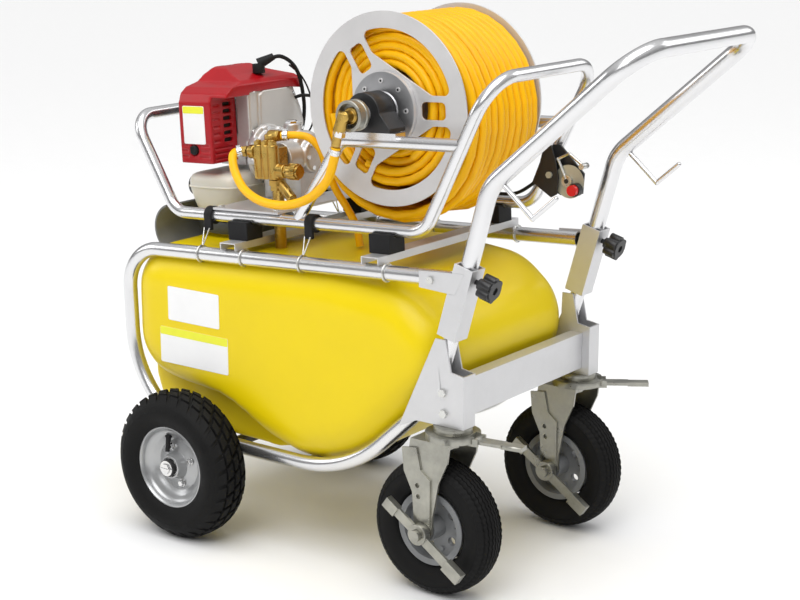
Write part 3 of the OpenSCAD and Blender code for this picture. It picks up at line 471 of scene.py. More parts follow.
# middle X, middle Z and radius of the tank's rounded corners, then of its round belly
TANK_CORNERS = [(-426, 408, 80), (-416, 332, 90), (-60, 395, 108), (50, 381, 111), (76, 378, 97)]
BELLY = (-120, 408, 250)
BELLY_CORNER = 105
BELLY_DEGREES = range(0, 43, 7)
NECK = (-395, 0)
NECK_RADIUS, NECK_FOOT, NECK_TOP = 72, 440, 504
WHEEL_ROOM = [(-560, 252), (-330, 252), (-292, 248), (-262, 238), (-238, 224), (-212, 203),
              (-190, 181), (-170, 158), (-152, 100), (-560, 100)]
WHEEL_ROOM_DEPTH = 52
# the middle of the tank reaches lower between the front wheels
KEEL = [(-492, 340), (-492, 244), (-480, 208), (-450, 180), (-404, 166), (-300, 159), (-200, 157),
        (-150, 170), (-150, 340)]
KEEL_HALF = 147


def side_prism(bm, outline, y0, y1):
    """An outline of (x, z) points of the cart's axes, swept across from y0 to y1."""
    walls = [[bm.verts.new(cart(x, y, z)) for x, z in outline] for y in (y0, y1)]
    for i in range(len(outline)):
        j = (i + 1) % len(outline)
        bm.faces.new((walls[0][i], walls[0][j], walls[1][j], walls[1][i]))
    bm.faces.new(walls[0])
    bm.faces.new(walls[1])
    bmesh.ops.recalc_face_normals(bm, faces=bm.faces)


def tank_pill(bm, x, z, radius):
    """One rounded disc of the tank's outline, as loose points."""
    for k in range(96):
        a = 2 * math.pi * k / 96
        for side in (-1, 1):
            for i in range(13):
                t = math.radians(90 * i / 12)
                r = radius - TANK_EDGE + TANK_EDGE * math.sin(t)
                y = side * (TANK_HALF - TANK_EDGE + TANK_EDGE * math.cos(t))
                bm.verts.new(cart(x + r * math.cos(a), y, z + r * math.sin(a)))


def make_tank():
    corners = list(TANK_CORNERS)
    reach = BELLY[2] - BELLY_CORNER
    for a in map(math.radians, BELLY_DEGREES):
        corners.append((BELLY[0] + reach * math.sin(a), BELLY[1] - reach * math.cos(a),
                        BELLY_CORNER))
    bm = bmesh.new()
    for c in corners:
        tank_pill(bm, *c)
    hull = bmesh.ops.convex_hull(bm, input=bm.verts)
    inside = {e for key in ("geom_interior", "geom_unused") for e in hull[key]}
    bmesh.ops.delete(bm, geom=[e for e in inside if isinstance(e, bmesh.types.BMVert)],
                     context="VERTS")
    bmesh.ops.recalc_face_normals(bm, faces=bm.faces)
    body = scratch("tank_body", bm)
    cutters = []
    for side in (-1, 1):
        cut = bmesh.new()
        side_prism(cut, WHEEL_ROOM, side * BEYOND_TANK, side * (TANK_HALF - WHEEL_ROOM_DEPTH))
        cutter = scratch("wheel_room", cut)
        cutters.append(cutter)
        mod = body.modifiers.new("room", "BOOLEAN")
        mod.object, mod.operation, mod.solver = cutter, "DIFFERENCE", "EXACT"
    shell = settled(body)
    neck = bmesh.new()
    neck.from_mesh(shell)
    seat = Matrix.Translation(cart(NECK[0], NECK[1], 0))
    lathe_z(neck, [(0.1 * MM, NECK_FOOT * MM), (NECK_RADIUS * MM, NECK_FOOT * MM),
                   (NECK_RADIUS * MM, NECK_TOP * MM), (0.1 * MM, NECK_TOP * MM)], 64, seat)
    side_prism(neck, KEEL, -KEEL_HALF, KEEL_HALF)
    rough = scratch("tank_rough", neck)
    voxels = rough.modifiers.new("voxels", "REMESH")
    voxels.mode, voxels.voxel_size = "VOXEL", 4.5 * MM
    soften = rough.modifiers.new("soften", "SMOOTH")
    soften.factor, soften.iterations = 0.5, 14
    mesh = settled(rough)
    mesh.name = "tank_skin"
    mesh.materials.clear()
    for temp in (body, rough, *cutters):
        bpy.data.objects.remove(temp)
    mesh.polygons.foreach_set("use_smooth", [True] * len(mesh.polygons))
    skin = add_object("tank_skin", mesh, "cart", MATERIALS["tank_yellow"])
    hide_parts("tank")


make_tank()


def rounded_plate(name, centre, right, up, width, height, radius, thick, body, material, slot):
    """A thin plate with rounded corners: a label or a pad."""
    bm = bmesh.new()
    right, up = Vector(right).normalized(), Vector(up).normalized()
    out = right.cross(up)
    ring = []
    for sx, sy, start in ((1, 1, 0), (-1, 1, 90), (-1, -1, 180), (1, -1, 270)):
        for k in range(5):
            a = math.radians(start + 22.5 * k)
            ring.append(centre + right * (sx * (width / 2 - radius) + radius * math.cos(a))
                        + up * (sy * (height / 2 - radius) + radius * math.sin(a)))
    low = [bm.verts.new(p) for p in ring]
    high = [bm.verts.new(p + out * thick) for p in ring]
    for i in range(len(ring)):
        j = (i + 1) % len(ring)
        bm.faces.new((low[i], low[j], high[j], high[i]))
    bm.faces.new(high)
    bm.faces.new(reversed(low))
    return from_bmesh(name, bm, body, material, smooth=False)


def make_labels():
    """Plain stickers where the tank and the engine carry theirs, with no print on them."""
    side = ((1, 0, 0), (0, 0, 1))
    at = -TANK_HALF - 0.1
    rounded_plate("tank_label_upper", cart(-343, at, 394), *side, 0.118, 0.060, 0.003, 0.0006,
                  "cart", LABEL_WHITE, "tank_yellow")
    rounded_plate("tank_label_lower", cart(-344, at, 318), *side, 0.157, 0.064, 0.003, 0.0006,
                  "cart", LABEL_WHITE, "tank_yellow")
    rounded_plate("tank_label_header", cart(-344, at - 0.6, 343), *side, 0.156, 0.014, 0.002,
                  0.0003, "cart", LABEL_YELLOW, "tank_yellow")
    tilt = ((math.cos(PITCH), 0, math.sin(PITCH)), (-math.sin(PITCH), 0, math.cos(PITCH)))
    rounded_plate("engine_label", carrier(-405, -112.1, 146), *tilt, 0.050, 0.066, 0.003, 0.0006,
                  "cart", LABEL_WHITE, "engine_red")
    rounded_plate("engine_label_header", carrier(-405, -112.8, 172), *tilt, 0.048, 0.012, 0.002,
                  0.0003, "cart", LABEL_YELLOW, "engine_red")


make_labels()

# ---------------------------------------------------------------- front wheels

FRONT_WHEEL = (-333, 250, 130)
LUGS_ROUND = 30
LUG_PITCH = 2 * math.pi / LUGS_ROUND
# rows of tread blocks: distance from the tyre's middle, width, lag as a share of the pitch
LUG_ROWS = [(0.0, 11.0, 0.0), (14.5, 11.5, 0.5), (29.0, 13.0, 0.0)]
LUG_ROOT = 3  # how deep a block's foot sits in the casing
LUG_TALL, OUTER_LUG_TALL = 5.6, 4.9
LUG_HALF_TURN = 0.39 * LUG_PITCH
LUG_SKEW = 0.16 * LUG_PITCH
LUG_TAPER = 0.9
OUTER_ROW = 20  # rows farther out than this are shoulder rows
SHOULDER_BAR = [(-1, 110, 36.5), (1, 110, 36.5), (0.8, 100, 40.6), (-0.8, 100, 40.6)]
SHOULDER_BAR_TALL = 1.3


def carcass_radius(y):
    """Radius of the front tyre's casing under the tread, in mm, at a distance from the middle."""
    return 124.3 - 0.0054 * y * y - 0.0000042 * y ** 4


def on_wheel(centre, radius, y, angle):
    """A point in the wheel's axes, given in mm round its axle."""
    return centre @ Vector((radius * MM * math.cos(angle), y * MM, radius * MM * math.sin(angle)))


def tread_block(bm, centre, middle, mirror, offset, width):
    """One skewed, tapered block standing on the casing."""
    outer = offset > OUTER_ROW
    sides = (offset - width / 2, offset + width / 2)
    corners = []
    for top in (False, True):
        taper = LUG_TAPER if top else 1
        for turn, far in ((-1, 0), (1, 0), (1, 1), (-1, 1)):
            angle = middle + turn * LUG_HALF_TURN * taper + LUG_SKEW * mirror * (1 if far else -1)
            y = sides[far]
            radius = carcass_radius(y) - LUG_ROOT
            if top:
                radius = carcass_radius(y) + (OUTER_LUG_TALL if outer else LUG_TALL)
            if outer and far:
                radius -= 2.0 if top else 1.0
            corners.append(on_wheel(centre, radius, mirror * (offset + (y - offset) * taper), angle))
    block(bm, corners)


def shoulder_bar(bm, centre, middle, mirror):
    """A low bar down the side wall between two shoulder blocks."""
    corners = []
    for lift in (0, SHOULDER_BAR_TALL):
        for turn, radius, y in SHOULDER_BAR:
            corners.append(on_wheel(centre, radius, mirror * (y + lift),
                                    middle + 0.3 * LUG_PITCH * turn))
    block(bm, corners)


def make_front_tyre(side):
    centre = Matrix.Translation(cart(FRONT_WHEEL[0], side * FRONT_WHEEL[1], FRONT_WHEEL[2]))
    bm = bmesh.new()
    half = [(66, 21), (68, 26), (71, 31), (77, 36), (85, 40), (93, 41.8), (101, 41.2), (108, 38.6),
            (113.5, 35), (carcass_radius(30), 31), (carcass_radius(22), 23),
            (carcass_radius(11), 11.5)]
    profile = half + [(carcass_radius(0), 0)] + [(r, -y) for r, y in reversed(half)]
    lathe(bm, [(r * MM, y * MM) for r, y in profile], 112, centre)
    for k in range(LUGS_ROUND):
        for offset, width, lag in LUG_ROWS:
            for mirror in ((1,) if offset == 0 else (-1, 1)):
                tread_block(bm, centre, (k + lag) * LUG_PITCH, mirror, offset, width)
        for mirror in (-1, 1):
            shoulder_bar(bm, centre, (k + 0.5) * LUG_PITCH, mirror)
    name = "left" if side < 0 else "right"
    obj = from_bmesh("front_tread_" + name, bm, "front_wheel_" + name, MATERIALS["tyre"],
                     replaces=["front_tyre_" + name])
    bevel(obj, 1.1 * MM, 2, 38)


def make_front_rim(side):
    """Pressed steel rim with a dished centre, bearing hub, clamp bolts and a valve stem."""
    name = "left" if side < 0 else "right"
    flip = Matrix.Scale(-1, 4, (0, 1, 0)) if side > 0 else Matrix.Identity(4)
    centre = Matrix.Translation(cart(FRONT_WHEEL[0], side * FRONT_WHEEL[1], FRONT_WHEEL[2])) @ flip
    bm = bmesh.new()
    front = [(72, -29), (71.6, -31), (69.5, -31.6), (67.5, -29.5), (66.2, -25), (64.5, -21),
             (60, -18), (56, -16.5), (51, -13.5), (47, -9), (43.5, -7.5), (39, -9.5), (30, -11.5),
             (25, -13), (22.5, -18), (20.5, -24), (20, -30), (17.5, -31), (16.8, -30),
             (16.6, -25), (10.3, -25)]
    back = [(r, -y * 0.86) for r, y in reversed(front)]
    lathe(bm, [(r * MM, y * MM) for r, y in front + back], 96, centre)
    obj = from_bmesh("front_disc_" + name, bm, "front_wheel_" + name, MATERIALS["rim_silver"],
                     replaces=["front_rim_" + name])
    bevel(obj, 0.5 * MM, 2, 40)
    bm = bmesh.new()
    ring = [(16.4, -27.2), (14.6, -28.2), (14.4, -27), (12.8, -27), (12.6, -28.2), (10.4, -28.2),
            (10.4, -24), (16.4, -24)]
    lathe(bm, [(r * MM, y * MM) for r, y in ring], 48, centre)
    for k in range(4):
        a = math.radians(90 * k + 20)
        at = centre @ Matrix.Translation((33 * MM * math.cos(a), -11.4 * MM, 33 * MM * math.sin(a)))
        hexagon_head(bm, at @ Matrix.Rotation(math.radians(90), 4, "X"), 10 * MM, 5 * MM)
    obj = from_bmesh("front_bearing_" + name, bm, "front_wheel_" + name, BRIGHT_STEEL,
                     smooth=False)
    bevel(obj, 0.35 * MM, 2, 35)
    bm = bmesh.new()
    a = math.radians(108)
    foot = Vector((52 * math.cos(a), -14, 52 * math.sin(a))) * MM
    lean = Vector((-0.9 * math.cos(a), -0.42, -0.9 * math.sin(a)))
    stem = [(0.1, 0), (6.2, 0), (6.0, 2.4), (4.6, 4), (4.2, 18), (4.0, 18.4), (4.1, 27), (3.6, 28),
            (0.1, 28)]
    lathe_z(bm, [(r * MM, z * MM) for r, z in stem], 24, centre @ along(foot, lean))
    obj = from_bmesh("valve_stem_" + name, bm, "front_wheel_" + name, MATERIALS["rubber"])
    bevel(obj, 0.4 * MM, 2, 40)


def make_axle_nuts():
    """Washer, slotted nut and split pin on both ends of the front axle."""
    bm = bmesh.new()
    for side in (-1, 1):
        end = Matrix.Translation(cart(FRONT_WHEEL[0], side * 288.1, FRONT_WHEEL[2]))
        out = end @ Matrix.Rotation(math.radians(90 * -side), 4, "X")
        rings = [(0.1, 0), (13.6, 0), (13.6, 1.2), (0.1, 1.2)]
        lathe_z(bm, [(r * MM, z * MM) for r, z in rings], 40, out)
        lathe_z(bm, [(r * MM, z * MM) for r, z in [(0.1, 1.2), (9.2, 1.2), (9.2, 4.2), (0.1, 4.2)]],
                6, out)
        box_at(bm, out @ Matrix.Translation((0, 0, 4.6 * MM)), (21 * MM, 2.2 * MM, 1.6 * MM))
    obj = from_bmesh("axle_nuts", bm, "cart", BRIGHT_STEEL, smooth=False)
    bevel(obj, 0.4 * MM, 2, 35)


for side in (-1, 1):
    make_front_tyre(side)
    make_front_rim(side)
make_axle_nuts()

# ---------------------------------------------------------------- caster tyres

CASTER_WHEEL = (164, 187, 112)


def make_caster_tyre(side):
    """Rib tread with zigzag grooves and fine teeth on the shoulders."""
    name = "left" if side < 0 else "right"
    centre = Matrix.Translation(cart(CASTER_WHEEL[0], side * CASTER_WHEEL[1], CASTER_WHEEL[2]))

    def crown(y):
        return 112 - 0.0105 * y * y - 0.000006 * y ** 4

    half = []
    for y in (23.5, 17, 10.2, 3.4):
        half += [(crown(y) - 0.1, y + 1.3, 1), (crown(y) - 3.0, y + 0.9, 1),
                 (crown(y) - 3.0, y - 0.9, 1), (crown(y) - 0.1, y - 1.3, 1)]
    wall = [(62, 17, 0), (64, 22, 0), (68, 26.5, 0), (75, 30.2, 0), (84, 31.9, 0), (92, 30.6, 0),
            (95.5, 29.8, 0), (96.4, 30.6, 0), (99, 29.4, 2), (102.5, 27.6, 2)]
    profile = wall + half + [(r, -y, -k) for r, y, k in reversed(wall + half)]
    kinds = [p[2] for p in profile]

    def wobble(step, index, r, y):
        kind = kinds[index]
        if abs(kind) == 1:
            y += (0.8 if (step // 2) % 2 else -0.8) * MM
        if abs(kind) == 2 and step % 4 < 2:
            r -= 0.9 * MM
            y -= math.copysign(0.5 * MM, y)
        return r, y

    bm = bmesh.new()
    lathe(bm, [(r * MM, y * MM) for r, y, k in profile], 256, centre, wobble=wobble)
    obj = from_bmesh("caster_tread_" + name, bm, "caster_wheel_" + name, MATERIALS["tyre"],
                     replaces=["caster_tyre_" + name])
    sharpen(obj.data, 42)


for side in (-1, 1):
    make_caster_tyre(side)

# ---------------------------------------------------------------- wound hose

REEL = (11, 184)  # carrier u and w of the shaft
HOSE = 15
LOOSE_SWELL, TIGHT_SWELL = 1.09, 0.985  # drawn thickness of the loose and of the buried layers
WINDING_HALF = 104.4
WINDING_OUTER = 149
# layers from the outside in: radius of the turns, number of turns, sag, start angle
LAYERS = [
    (WINDING_OUTER - 0.5 * HOSE, 11, 40, 0), (WINDING_OUTER - 1.42 * HOSE, 12, 22, 40),
    (WINDING_OUTER - 2.34 * HOSE, 13, 8, 95), (WINDING_OUTER - 3.26 * HOSE, 13, 4, 150),
    (WINDING_OUTER - 4.18 * HOSE, 13, 2, 210), (WINDING_OUTER - 5.1 * HOSE, 13, 0, 280),
]
LOOSE_LAYERS = 2
TURN_STEPS = 28
TURN_DRIFT = 2.2  # how far a turn may lie beside its even place


def winding_layer(radius, turns, sag, rng, start):
    """One layer of turns from flange to flange; the loose turns hang below the drum."""
    points = []
    slack = [sag * rng.uniform(0.45, 1.15) for _ in range(turns + 1)]
    shift = [rng.uniform(-TURN_DRIFT, TURN_DRIFT) for _ in range(turns + 1)]
    edge = WINDING_HALF - HOSE / 2
    for i in range(turns * TURN_STEPS + 1):
        t = i / TURN_STEPS
        turn = min(int(t), turns - 1)
        f = t - turn
        low = slack[turn] * (1 - f) + slack[turn + 1] * f
        drift = shift[turn] * (1 - f) + shift[turn + 1] * f
        a = math.radians(90 + start) + 2 * math.pi * t
        r = radius + low * ((1 - math.sin(a)) / 2) ** 1.7
        y = max(-edge, min(edge, -edge + 2 * edge * t / turns + drift))
        points.append(carrier(REEL[0] + r * math.cos(a), y, REEL[1] + r * math.sin(a)))
    return points


def make_winding():
    rng = random.Random(11)
    for k, (radius, turns, sag, start) in enumerate(LAYERS):
        line = winding_layer(radius, turns, sag, rng, start)
        swell = LOOSE_SWELL if k < LOOSE_LAYERS else TIGHT_SWELL
        obj = curve_object(f"hose_layer_{k}", line, HOSE / 2 * MM * swell, "reel",
                           MATERIALS["hose"], sides=16 if k == 0 else 12)
        if k == 0:
            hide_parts("hose_winding")


make_winding()

# ---------------------------------------------------------------- moulded and cast pieces


def prism(bm, outline, lo, hi, place):
    """An outline of (a, b) points swept from lo to hi; place(a, b, t) gives the point in mm."""
    rings = [[bm.verts.new(Vector(place(a, b, t)) * MM) for a, b in outline] for t in (lo, hi)]
    count = len(outline)
    for i in range(count):
        j = (i + 1) % count
        bm.faces.new((rings[0][i], rings[0][j], rings[1][j], rings[1][i]))
    bm.faces.new(rings[0])
    bm.faces.new(rings[1])


def in_end_view(bm, outline, u0, u1):
    prism(bm, outline, u0, u1, lambda y, w, u: (u, y, w))


def in_side_view(bm, outline, y0, y1):
    prism(bm, outline, y0, y1, lambda u, w, y: (u, y, w))


def brick(bm, u0, u1, y0, y1, w0, w1):
    box_at(bm, Matrix.Translation(Vector(((u0 + u1) / 2, (y0 + y1) / 2, (w0 + w1) / 2)) * MM),
           ((u1 - u0) * MM, (y1 - y0) * MM, (w1 - w0) * MM))


def drum(bm, at, direction, profile, steps=48):
    """Turned piece: (radius, distance) points in mm along a direction from a point in mm."""
    points = [(max(r, 0.05) * MM, z * MM) for r, z in profile]
    lathe_z(bm, points, steps, along(Vector(at) * MM, direction))


def plug(bm, at, direction, radius, length, steps=48, edge=0.0):
    """A solid cylinder with an optional rounded far edge."""
    profile = [(0, 0), (radius, 0)]
    if edge:
        profile += [(radius - edge + edge * math.cos(math.radians(a)),
                     length - edge + edge * math.sin(math.radians(a))) for a in range(0, 91, 30)]
    else:
        profile.append((radius, length))
    drum(bm, at, direction, profile + [(0, length)], steps)


def hexagon(bm, at, direction, across, length):
    drum(bm, at, direction, [(0, 0), (across / math.sqrt(3), 0),
                             (across / math.sqrt(3), length), (0, length)], 6)


def with_cuts(parts, cuts, voxel, passes, meet=None):
    """Fuses overlapping parts, keeps what lies in meet, takes the cuts away, rounds the edges."""
    for bm in (parts, cuts, meet):
        if bm:
            bmesh.ops.recalc_face_normals(bm, faces=bm.faces)
    obj = scratch("casting", parts)
    tools = []

    def remesh():
        mod = obj.modifiers.new("voxels", "REMESH")
        mod.mode, mod.voxel_size = "VOXEL", voxel * MM

    if meet:
        tool = scratch("meet", meet)
        tools.append(tool)
        mod = obj.modifiers.new("meet", "BOOLEAN")
        mod.object, mod.operation, mod.solver = tool, "INTERSECT", "EXACT"
    remesh()
    if cuts:
        tool = scratch("cuts", cuts)
        tools.append(tool)
        mod = obj.modifiers.new("cuts", "BOOLEAN")
        mod.object, mod.operation, mod.solver = tool, "DIFFERENCE", "EXACT"
        remesh()
    mod = obj.modifiers.new("round", "SMOOTH")
    mod.factor, mod.iterations = 0.5, passes
    mesh = settled(obj)
    for temp in (obj, *tools):
        bpy.data.objects.remove(temp)
    mesh.materials.clear()
    mesh.polygons.foreach_set("use_smooth", [True] * len(mesh.polygons))
    return mesh


def on_carrier(name, mesh, slot, material=None, replaces=(), body="cart"):
    """Puts a mesh built in the carrier's axes in place."""
    mesh.name = name
    mesh.transform(CARRIER)
    obj = add_object(name, mesh, body, material or MATERIALS[slot])
    if replaces:
        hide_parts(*replaces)
    return obj


def turned(name, bm, slot, material=None, replaces=(), body="cart", edge=0.35, angle=35):
    """Crisp turned or folded pieces in the carrier's axes, with small rounded edges."""
    bmesh.ops.recalc_face_normals(bm, faces=bm.faces)
    mesh = bpy.data.meshes.new(name)
    bm.to_mesh(mesh)
    bm.free()
    sharpen(mesh, angle)
    obj = on_carrier(name, mesh, slot, material, replaces, body)
    if edge:
        bevel(obj, edge * MM, 2, angle)
    return obj


# ---------------------------------------------------------------- engine

def make_engine_cover():
    """Red moulded cover: louvred side panel below, hood over the cylinder above."""
    shell, meet, cuts = bmesh.new(), bmesh.new(), bmesh.new()
    in_end_view(shell, [(-112, 78), (-112, 184), (-105, 200), (-90, 210), (-64, 217), (-46, 238),
                        (-40, 241), (26, 242), (46, 231), (84, 219), (98, 208), (102, 192),
                        (64, 197), (-46, 197), (-46, 78)], -441, -329)
    in_side_view(meet, [(-440, 79), (-440, 210), (-430, 228), (-414, 241), (-390, 242),
                        (-362, 228), (-338, 219), (-331, 212), (-331, 193), (-366, 193),
                        (-366, 79)], -114, 104)
    for k in range(6):
        brick(cuts, -380, -360, -79, -57, 114 + 12.5 * k, 120.5 + 12.5 * k)
        brick(cuts, -368.2, -360, -106, -88, 114 + 12.5 * k, 119 + 12.5 * k)
    for k in range(3):
        brick(cuts, -368.4, -360, -104, -58, 84 + 9 * k, 88.5 + 9 * k)
    for k in range(9):
        brick(cuts, -444, -437.6, -108, -40, 92 + 12 * k, 97 + 12 * k)
    for w in (88, 98, 108):
        brick(cuts, -438, -422, -116, -109.4, w, w + 5)
        brick(cuts, -396, -372, -116, -109.8, w, w + 4)
    brick(cuts, -428, -374, -116, -108.5, 81.5, 84.5)
    plug(cuts, (-409, -118, 102), (0, 1, 0), 10.5, 10)
    for side in (-1, 1):
        brick(cuts, -425 if side < 0 else -400, -404 if side < 0 else -379, -20, 8, 240.6, 246)
    mesh = with_cuts(shell, cuts, 1.5, 4, meet)
    on_carrier("engine_cover_skin", mesh, "engine_red", replaces=["engine_cover"])
    # painted shade: a dark plate behind the slots stands in for the shade inside them; the side plug
    # and the edge of the cover's lip are drawn in the same dark
    bm = bmesh.new()
    brick(bm, -373, -371, -82, -54, 110, 184)
    plug(bm, (-409, -113, 102), (0, 1, 0), 8.2, 6, edge=1.5)
    for k in range(-2, 3):
        brick(bm, -410 + 3.2 * k, -408.6 + 3.2 * k, -114.2, -112, 96, 108)
    turned("engine_cover_shade_and_plug", bm, "dark_steel", PAINTED_SHADE)


def make_engine_shroud():
    """Silver cowl behind the cover, the clutch housing under it and its lugs and screws."""
    parts, cuts = bmesh.new(), bmesh.new()
    in_end_view(parts, [(-46, 112), (-46, 198), (-30, 206), (56, 206), (76, 196), (94, 158),
                        (103, 128), (100, 116), (60, 118), (20, 112)], -366, -335)
    in_end_view(parts, [(-22, 126), (-20, 190), (-8, 198), (52, 198), (68, 190), (84, 156),
                        (92, 130), (60, 128)], -340, -330.5)
    in_end_view(parts, [(-46, 84), (-46, 122), (10, 128), (60, 122), (84, 112), (88, 96),
                        (70, 84)], -372, -343)
    brick(parts, -346, -334, -40, -14, 98, 116)
    brick(parts, -344, -326, 8, 44, 96, 124)
    plug(parts, (-350, 62, 112), (1, 0, 0.1), 19, 30, edge=7)
    plug(parts, (-360, 26, 112), (1, 0, 0), 13, 40, edge=3)
    brick(cuts, -338, -330, -36, -20, 104, 111)
    brick(cuts, -333, -322, 14, 22, 108, 116)
    brick(cuts, -332, -320, 30, 38, 108, 116)
    plug(cuts, (-324, 26, 112), (1, 0, 0), 7.5, 10)
    for k in range(3):
        brick(cuts, -334.5, -328, 0, 70, 140 + 16 * k, 141.6 + 16 * k)
    mesh = with_cuts(parts, cuts, 1.6, 5)
    on_carrier("engine_cowl", mesh, "cast_alu", material=COWL_SILVER, replaces=["engine_shroud"])
    bm = bmesh.new()
    for y, w in ((-38, 92), (-38, 128), (80, 104), (-34, 200), (70, 186), (92, 122)):
        plug(bm, (-345 if w < 110 else -336, y, w), (1, 0, 0), 4.4, 4.6, 20, 1.2)
    turned("engine_screws", bm, "steel", BRIGHT_STEEL)


FUEL_TANK = (-396, -18)  # middle in carrier u and y
FUEL_HALF = (60, 80)
FUEL_SQUARENESS = 0.42  # 1 is an ellipse, towards 0 is a box
FUEL_SIDES = 72


def make_fuel_tank():
    """Milky blow-moulded tank with soft corners, a seam round its middle and a low belly."""
    bm = bmesh.new()
    levels = [(-9, 20), (-8.2, 15), (-6, 11.5), (-2, 9), (6, 6.6), (16, 4.2), (28, 1.6), (33.2, 0.8),
              (33.8, -1.0), (35.8, -1.0), (36.4, 0.6), (44, 0.4), (50, 1.8), (54, 4.4), (56.6, 8.4),
              (57.8, 14), (58, 20)]
    rings = []
    for w, inset in levels:
        ring = []
        for k in range(FUEL_SIDES):
            a = 2 * math.pi * k / FUEL_SIDES
            c, s = math.cos(a), math.sin(a)
            across = math.copysign(abs(c) ** FUEL_SQUARENESS, c) * (FUEL_HALF[0] - inset)
            y = FUEL_TANK[1] + math.copysign(abs(s) ** FUEL_SQUARENESS, s) * (FUEL_HALF[1] - inset)
            # the belly rises towards the pump
            lift = 5.0 * max(0, across / FUEL_HALF[0]) * max(0, (10 - w) / 19)
            ring.append(bm.verts.new(Vector((FUEL_TANK[0] + across, y, w + lift)) * MM))
        rings.append(ring)
    for low, high in zip(rings, rings[1:]):
        for k in range(FUEL_SIDES):
            j = (k + 1) % FUEL_SIDES
            bm.faces.new((low[k], low[j], high[j], high[k]))
    bm.faces.new(list(reversed(rings[0])))
    bm.faces.new(rings[-1])
    turned("fuel_tank_skin", bm, "fuel_white", replaces=["fuel_tank"], edge=0, angle=60)
    # rubber feet under the tank
    bm = bmesh.new()
    for u in (-440, -352):
        drum(bm, (u, -66, -12), (0, 0, 1), [(0, 0), (3, 0), (3, 10), (0, 10)], 20)
    turned("fuel_tank_feet", bm, "dark_steel", MATERIALS["rubber"])


PUMP = (-12, 88)  # carrier y and w of the pump's axis
PUMP_LUGS, LUG_CIRCLE, LUG_TURN = 8, 46, 12
END_BOLTS, END_CIRCLE = 6, 22


def around_pump(u, radius, degrees):
    a = math.radians(degrees)
    return (u, PUMP[0] + radius * math.cos(a), PUMP[1] + radius * math.sin(a))


def make_pump():
    """Plunger pump: cast crankcase, round end bell with bolts, flange to the clutch housing."""
    parts, cuts = bmesh.new(), bmesh.new()
    plug(parts, (-331, -12, 88), (1, 0, 0), 52, 10, edge=3)
    plug(parts, (-326, -12, 88), (1, 0, 0), 43, 94, edge=8)
    plug(parts, (-238, -12, 88), (1, 0, 0), 30, 22, edge=6)
    plug(parts, (-262, -20, 118), (0, 0, 1), 14, 26, edge=3)
    brick(parts, -312, -228, -44, 20, 15, 60)
    plug(parts, (-250, -40, 88), (0, -1, 0), 30, 34, edge=2)
    plug(parts, (-284, -30, 92), (0, -1, 0), 17, 20, edge=3)
    lug_angles = [360 / PUMP_LUGS * k + LUG_TURN for k in range(PUMP_LUGS)]
    for a in lug_angles:
        plug(parts, around_pump(-330, LUG_CIRCLE, a), (1, 0, 0), 6.5, 14, 24, 1)
    for k in range(7):
        w = 28 + 6 * k
        brick(cuts, -300, -240, -50, -42.4, w - 3, w)
    mesh = with_cuts(parts, cuts, 1.5, 4)
    on_carrier("pump_casting", mesh, "cast_alu", replaces=["pump_body"])
    bm = bmesh.new()
    for a in lug_angles:
        hexagon(bm, around_pump(-317, LUG_CIRCLE, a), (1, 0, 0), 8, 4.5)
    for k in range(END_BOLTS):
        hexagon(bm, around_pump(-217.5, END_CIRCLE, 360 / END_BOLTS * k), (1, 0, 0), 7, 4)
    drum(bm, (-262, -20, 143), (0, 0, 1), [(0, 0), (11, 0), (11, 4), (8, 6), (0, 6)], 6)
    turned("pump_bolts", bm, "steel", BRIGHT_STEEL)


def make_manifold():
    """Brass valve block: three chambers with hexagon caps, side ports and hose barbs."""
    parts = bmesh.new()
    brick(parts, -272, -226, -112, -76, 64, 112)
    for u in (-262, -246, -231):
        plug(parts, (u, -109, 60), (0, 0, 1), 9.6, 58, edge=1.5)
    plug(parts, (-250, -97, 110), (0, 0, 1), 12.5, 12, edge=1)
    plug(parts, (-276, -114, 106), (1, 0, 0), 12, 12, edge=1)
    plug(parts, (-232, -104, 74), (1, 0, 0), 12.5, 24, edge=1.5)
    plug(parts, (-240, -96, 62), (0.35, -0.1, -0.25), 9, 60, edge=2)
    plug(parts, (-254, -88, 131), (1, 0, 0), 9.5, 20, edge=1)
    plug(parts, (-250, -92, 116), (0, 0, 1), 10, 18, edge=2)
    mesh = with_cuts(parts, None, 1.2, 3)
    on_carrier("manifold_body", mesh, "brass", replaces=["pump_manifold"])
    bm = bmesh.new()
    for u in (-262, -246, -231):
        hexagon(bm, (u, -109, 117.6), (0, 0, 1), 14, 6)
        plug(bm, (u, -109, 123), (0, 0, 1), 4.5, 3, 20, 0.8)
    hexagon(bm, (-290, -114, 106), (1, 0, 0), 17, 9)
    for k in range(4):
        drum(bm, (-300 + 3.2 * k, -114.5, 105.8), (1, 0, 0),
             [(6.2, 0), (7.2, 0.4), (6.4, 3), (6.2, 3)])
    hexagon(bm, (-238, -88, 131), (1, 0, 0), 17, 8)
    hexagon(bm, (-210, -104, 74), (1, 0, 0), 19, 7)
    hexagon(bm, (-232, -100, 58), (0, 0, -1), 26, 9)
    drum(bm, (-232, -100, 49), (0, 0, -1), [(0, 0), (12.4, 0), (12.4, 3), (11.2, 5), (0, 5)])
    turned("manifold_fittings", bm, "brass", edge=0.6)
    bm = bmesh.new()
    band = [(7.7, 0), (8.7, 0.5), (8.7, 4), (8.2, 4.4), (8.7, 4.8), (8.7, 9), (8.3, 9.6), (7.7, 9.6)]
    for route in (DELIVERY, list(reversed(DELIVERY)), BYPASS):
        at, nxt = Vector(route[0]), Vector(route[1])
        d = (nxt - at).normalized()
        drum(bm, at + d * 3, d, band, 40)
        box_at(bm, along((at + d * 8) * MM, d) @ Matrix.Translation((0, 9.6 * MM, 0)),
               (7 * MM, 4 * MM, 7 * MM))
    turned("hose_clamps", bm, "steel", BRIGHT_STEEL, edge=0.25)


SWIVEL_START = -183  # carrier y where the reel's shaft ends


